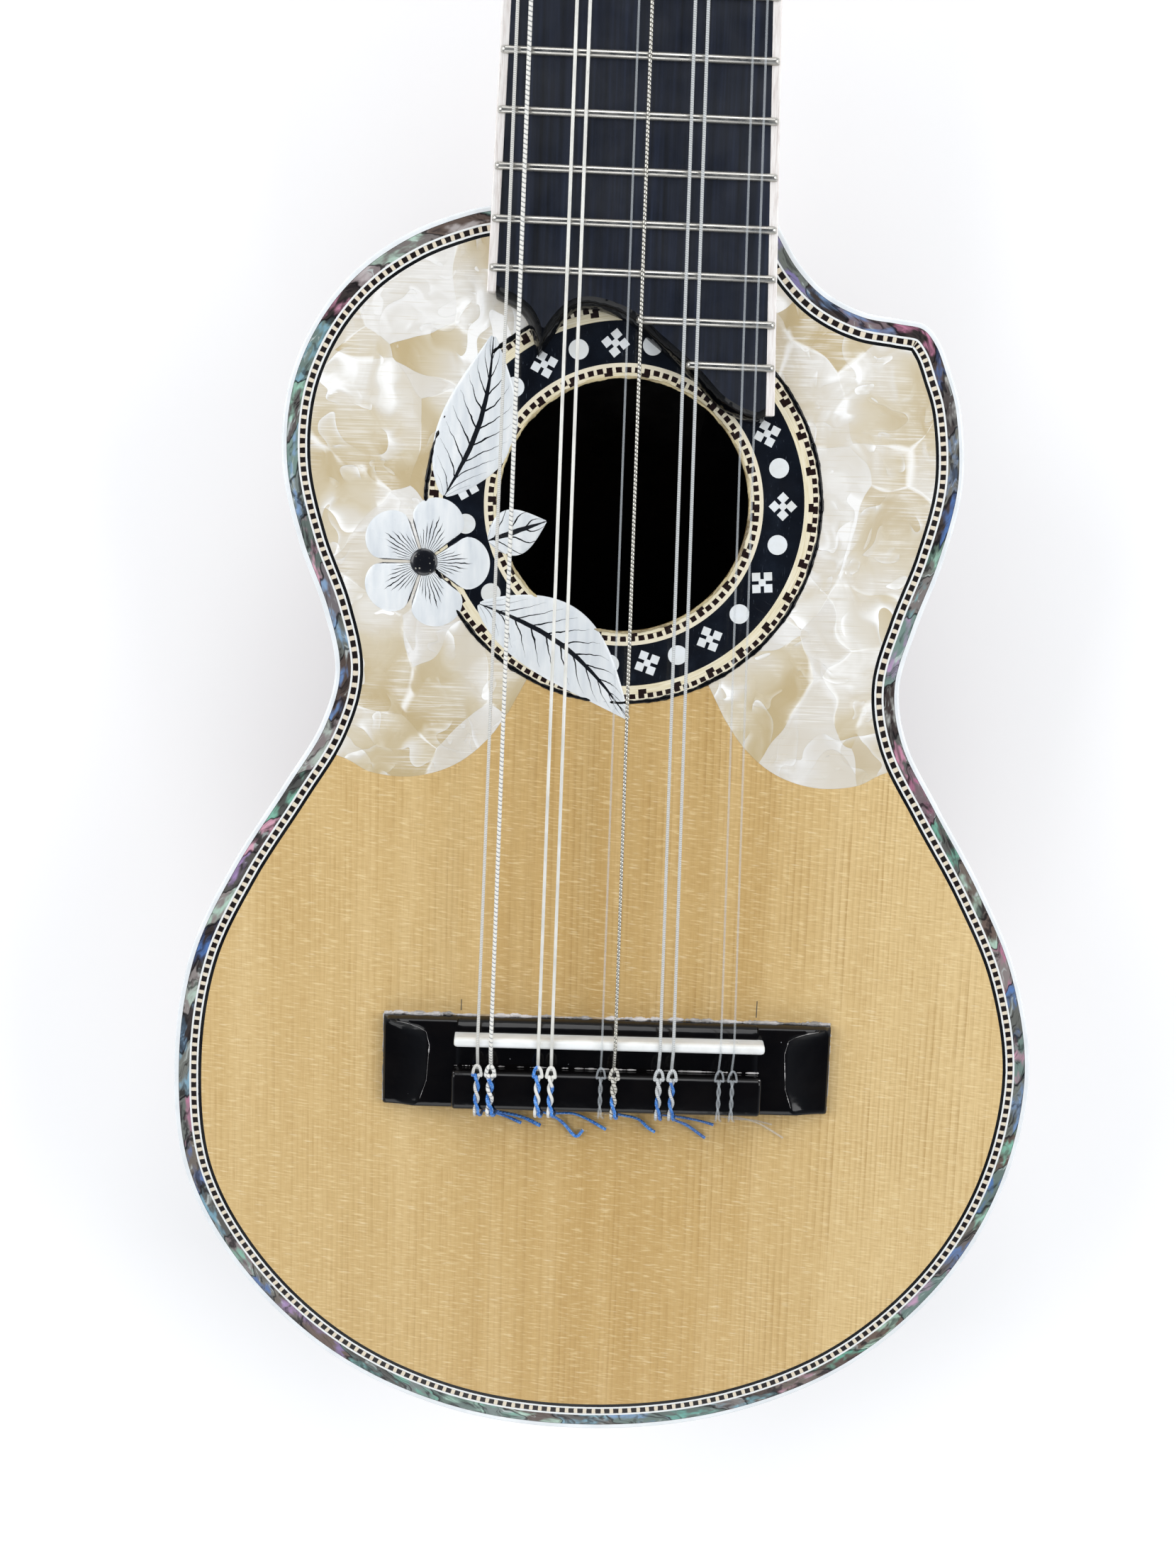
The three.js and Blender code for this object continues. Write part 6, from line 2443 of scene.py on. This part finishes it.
@dataclass
class Tuners(Part):
    """Geared tuners: plates, rollers with their wheels, and worms with their buttons.

    Args:
        lines: The strings, which place the posts.
        teeth: Teeth of a wheel.
        tip: Radius of a wheel at the tips of its teeth.
        root: Radius between them.
        inner: Place of a wheel's inner face across.
        thick: Thickness of a wheel.
        slot: Place of the head's slot across, where the roller begins.
        worm_offset: Distance of the worm from the roller along the head.
        worm: Core radius, outer radius and pitch of a worm.
        worm_turns: Turns of a worm either way from its middle.
        button: Radius, length and flatness of a button.
        button_top: Depth of a button's upper end under the worm's middle.
        shaft_top: Height of the shaft's end over it.
        plate_face: Place of the plates' faces across.
        screws: Places of the plate screws along the head.
        screw_rise: How far the screws between the first and the last stand nearer to the head's face.
    """

    lines: StringLines
    teeth: int = 14
    tip: float = 6.1
    root: float = 4.9
    inner: float = 33.5
    thick: float = 2.4
    slot: float = 5.5
    worm_offset: float = 7.8
    worm: tuple[float, float, float] = (1.2, 2.2, 2.513)
    worm_turns: float = 1.35
    button: tuple[float, float, float] = (6, 13, 0.62)
    button_top: float = 12.8
    shaft_top: float = 6.3
    plate_face: float = 32.2
    screws: tuple[float, ...] = (27.4, 48.6, 73.6, 98.6, 123.6, 145.2)
    screw_rise: float = 4.2

    def build(self) -> None:
        """Build the plates and each tuner."""
        slot, depth = "tuner_brass", -self.lines.post_depth
        for side in Side:
            node = f"tuner_plate_{side.word}"
            self.shop.piece(f"plate_{side.word}", node, "brass", slot, replaces=[node], bevel=0.25)
            screws = self.in_head(join(self.screw(side, y) for y in self.screws))
            self.shop.piece(f"plate_screws_{side.word}", screws, "screw steel", slot, sharp=30)
        for string in range(len(STRINGS)):
            side, y = self.lines.post(string)
            number = string + 1
            post, button = f"post_{number}", f"button_{number}"
            self.shop.piece(
                f"roller_{number}", self.in_head(self.roller(side), (0, y, depth)), "brass", slot, body=post,
                replaces=[f"tuner_{post}"], bevel=0.12, sharp=30,
            )
            place = (side.value * (self.inner + self.thick / 2), y + self.worm_offset, depth)
            for name, shape, finish, kind, sharp in (
                ("worm", self.worm_shaft(), "brass", slot, 40),
                ("knob", self.knob(), "button pearl", "button_pearl", 50),
            ):
                self.shop.piece(
                    f"{name}_{number}", self.in_head(shape, place), finish, kind, body=button,
                    replaces=[f"tuner_{button}"], sharp=sharp,
                )

    def in_head(self, shape: Shape, place: Sequence[float] = (0, 0, 0)) -> Shape:
        """Shape moved to a place in the tilted head."""
        return shape.placed(np.eye(3), place).placed(*self.lines.head_frame())

    @staticmethod
    def outwards(side: Side) -> Array:
        """Turn that lays a shape's z axis outwards to a side, along x."""
        return np.array([[0, 0, side.value], [side.value, 0, 0], [0, 1, 0]])

    def roller(self, side: Side) -> Shape:
        """Roller along x with its wheel, a screw in the wheel and the pin at its inner end.

        Args:
            side: Side of the head that it stands on.

        Returns:
            The roller, its axis on the x axis.
        """
        tooth = 2 * np.pi / self.teeth
        offsets = np.array([-0.5, -0.36, -0.14, 0.14, 0.36]) * tooth
        radius = np.array([self.root, self.root, self.tip, self.tip, self.root])
        angle = (np.arange(self.teeth) + 0.5)[:, None] * tooth + offsets
        outline = (radius[:, None] * arms(angle)).reshape(-1, 2)
        wheel = prism(outline, self.inner, self.inner + self.thick)
        barrel = np.array([
            (1.7, -3), (1.8, -2.8), (1.8, 0.6), (2.6, 0.6), (2.85, 0.8), (2.85, 5.7), (2.6, 6), (2.6, 12.1),
            (2.85, 12.4), (2.85, 14.9), (2.85, 28.1),
        ]) + (0, self.slot)
        cap = np.array([(2.5, -0.1), (2.5, 0.4), (2.3, 0.6), (0.01, 0.7)]) + (0, self.inner + self.thick)
        return join([wheel, turned(barrel, 32), turned(cap, 28)]).placed(self.outwards(side))

    def worm_shaft(self) -> Shape:
        """Worm on its shaft, upright, down to the button."""
        core, outer, pitch = self.worm
        turns = np.linspace(-self.worm_turns, self.worm_turns, 120)
        ease = np.clip((self.worm_turns - np.abs(turns)) / 0.25, 0.02, 1)[:, None]
        way = arms(2 * np.pi * turns - np.pi / 2)
        foot = core - 0.3
        section = ((foot, -0.55), (outer, -0.22), (outer, 0.22), (foot, 0.55))
        rows = [
            at_height(way * (foot + (radius - foot) * ease), turns * pitch + up) for radius, up in section
        ]
        top = self.shaft_top
        shaft = np.array([(core, -self.button_top - 2), (core, top - 0.3), (foot, top), (0.01, top)])
        collar = np.array([(1.2, -12.9), (2.5, -12.9), (2.5, -12.3), (1.9, -11.9), (1.2, -11.8)])
        return join([rod(np.stack(rows, 1)), turned(shaft, 24), turned(collar, 28)])

    def knob(self) -> Shape:
        """Flattened pearl button."""
        radius, length, flat = self.button
        shares = [(0, 0), (0.42, 0), (0.8, 0.14), (1, 0.46), (0.86, 0.84), (0.5, 0.985), (0, 1)]
        curve = np.clip(centripetal(np.array(shares), 48), (0.002, 0), 1)
        return turned(curve * (radius, -length) - (0, self.button_top), 40).placed(np.diag([flat, 1, 1]))

    def screw(self, side: Side, y: float) -> Shape:
        """Domed screw on the plate's face.

        Args:
            side: Side of the head.
            y: Place along the head.

        Returns:
            The screw.
        """
        profile = np.array([(1.5, -0.3), (1.5, 0.15), (1.2, 0.5), (0.7, 0.68), (0.01, 0.72)])
        rise = self.screw_rise if self.screws[0] < y < self.screws[-1] else 0
        place = (0, y, rise - self.lines.post_depth)
        return turned(profile + (0, self.plate_face), 20).placed(self.outwards(side), place)


# Studio


@dataclass
class Studio:
    """Camera of the photo, a pale floor and soft lights.

    Args:
        datum: The frame's sizes.
        camera_place: Place of the camera in millimetres from the saddle line.
        camera_turns: Turns of the camera about its x, y and z axes in degrees.
        lens: Focal length in millimetres.
        aim: Point that the lights look at, in metres.
        lights: Name, place in metres, side in metres and power in watts of each soft light.
        floor: Half the floor's side and its height in metres.
    """

    datum: Datum
    camera_place: tuple[float, float, float] = (-14.20, 132.24, 419.69)
    camera_turns: tuple[float, float, float] = (9.810, 1.113, -1.886)
    lens: float = 42.058
    aim: tuple[float, float, float] = (0, 0, 0.05)
    lights: tuple[tuple[str, tuple[float, float, float], float, float], ...] = (
        ("light_left", (-1.3, 0.3, 1.1), 1.1, 15),
        ("light_right", (1.3, 0.1, 1.1), 1.1, 14),
        ("light_far", (0.1, 1.5, 1.2), 1.2, 12),
        ("light_near", (-0.2, -1.6, 1.3), 1.2, 8),
    )
    floor: tuple[float, float] = (12, -0.0003)

    def build(self) -> None:
        """Set up the camera, floor, surroundings and lights."""
        self.build_camera()
        self.build_floor()
        self.build_world()
        for name, place, size, power in self.lights:
            light = bpy.data.lights.new(name, "AREA")
            light.size, light.energy = size, power
            item = self.stand(name, light)
            item.location = place
            item.rotation_euler = (Vector(self.aim) - Vector(place)).to_track_quat("-Z", "Y").to_euler()
            item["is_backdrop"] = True

    @staticmethod
    def stand(name: str, data: bpy.types.ID) -> bpy.types.Object:
        """Object of some data, put in the scene."""
        item = bpy.data.objects.new(name, data)
        bpy.context.scene.collection.objects.link(item)
        return item

    def build_camera(self) -> None:
        """Place the camera as the frets, the saddle and the sound hole in the photo give it."""
        pitch, yaw, roll = (math.radians(turn) for turn in self.camera_turns)
        seen = Matrix.Rotation(roll, 3, "Z") @ Matrix.Rotation(pitch, 3, "X") @ Matrix.Rotation(yaw, 3, "Y")
        lens = bpy.data.cameras.new("photo_camera")
        lens.lens = self.lens
        lens.sensor_width = 36
        lens.clip_start = 0.01
        camera = self.stand("photo_camera", lens)
        place = np.array(self.camera_place) * MM + self.datum.origin
        camera.matrix_world = Matrix.Translation(place) @ seen.transposed().to_4x4()
        bpy.context.scene.camera = camera

    def build_floor(self) -> None:
        """Lay a wide pale floor under the instrument."""
        mesh = bpy.data.meshes.new("floor")
        half, height = self.floor
        corners = [(x * half, y * half, height) for x, y in ((-1, -1), (1, -1), (1, 1), (-1, 1))]
        mesh.from_pydata(corners, [], [(0, 1, 2, 3)])
        mesh.update()
        material = bpy.data.materials.new("floor")
        material.use_nodes = True
        inputs = material.node_tree.nodes["Principled BSDF"].inputs
        inputs["Base Color"].default_value = (0.93, 0.93, 0.93, 1)
        inputs["Emission Color"].default_value = (1, 1, 1, 1)
        inputs["Emission Strength"].default_value = 0.2
        inputs["Roughness"].default_value = 0.8
        inputs["Specular IOR Level"].default_value = 0.1
        mesh.materials.append(material)
        self.stand("floor", mesh)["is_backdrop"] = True

    @staticmethod
    def build_world() -> None:
        """Surround the scene with soft white, bright at the sides and dim and blue overhead."""
        world = bpy.data.worlds.new("surroundings")
        world.use_nodes = True
        graph = Graph()
        graph.tree = world.node_tree
        up = graph.add("TexCoord")["Generated"].parts()[2]
        inputs = world.node_tree.nodes["Background"].inputs
        graph.fill(inputs["Color"], up.ramp((0.25, "f2f6fa"), (0.75, "8a94a2"), (0.93, "3c4450")))
        graph.fill(inputs["Strength"], 0.75)
        bpy.context.scene.world = world
        bpy.context.scene.view_settings.view_transform = "Standard"


def write_size(packed: Sequence[Sequence[float]], dressed: Sequence[Sequence[float]]) -> None:
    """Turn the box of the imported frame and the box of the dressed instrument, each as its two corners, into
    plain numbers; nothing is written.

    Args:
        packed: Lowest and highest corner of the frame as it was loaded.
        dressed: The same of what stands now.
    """
    boxes = {"cad": packed, "visual": dressed}
    plain = {key: [[float(value) for value in corner] for corner in box] for key, box in boxes.items()}


def main() -> None:
    """Build the whole instrument over its frame."""
    logging.basicConfig(level=logging.INFO, format="%(message)s")
    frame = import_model()
    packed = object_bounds()
    datum = Datum.read()
    shop = Workshop(datum, frame)
    for effect in (Grain, Shell, Row, Specks, Polish, Coil):
        effect().build()
    for name, finish in FINISHES.items():
        finish.build(name, shop)
    form, board, lines = BodyForm(datum), BoardForm(datum), StringLines(datum)
    for part in (
        Bowl(shop, form),
        Top(shop, form),
        Rosette(shop),
        PearlPlates(shop, form),
        Spray(shop),
        Neck(shop, form, board),
        Fingerboard(shop, board),
        Bridge(shop),
        Strings(shop, lines),
        Head(shop),
        Tuners(shop, lines),
        Studio(datum),
    ):
        part.build()
    write_size(packed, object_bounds())


if __name__ == "__main__":
    main()
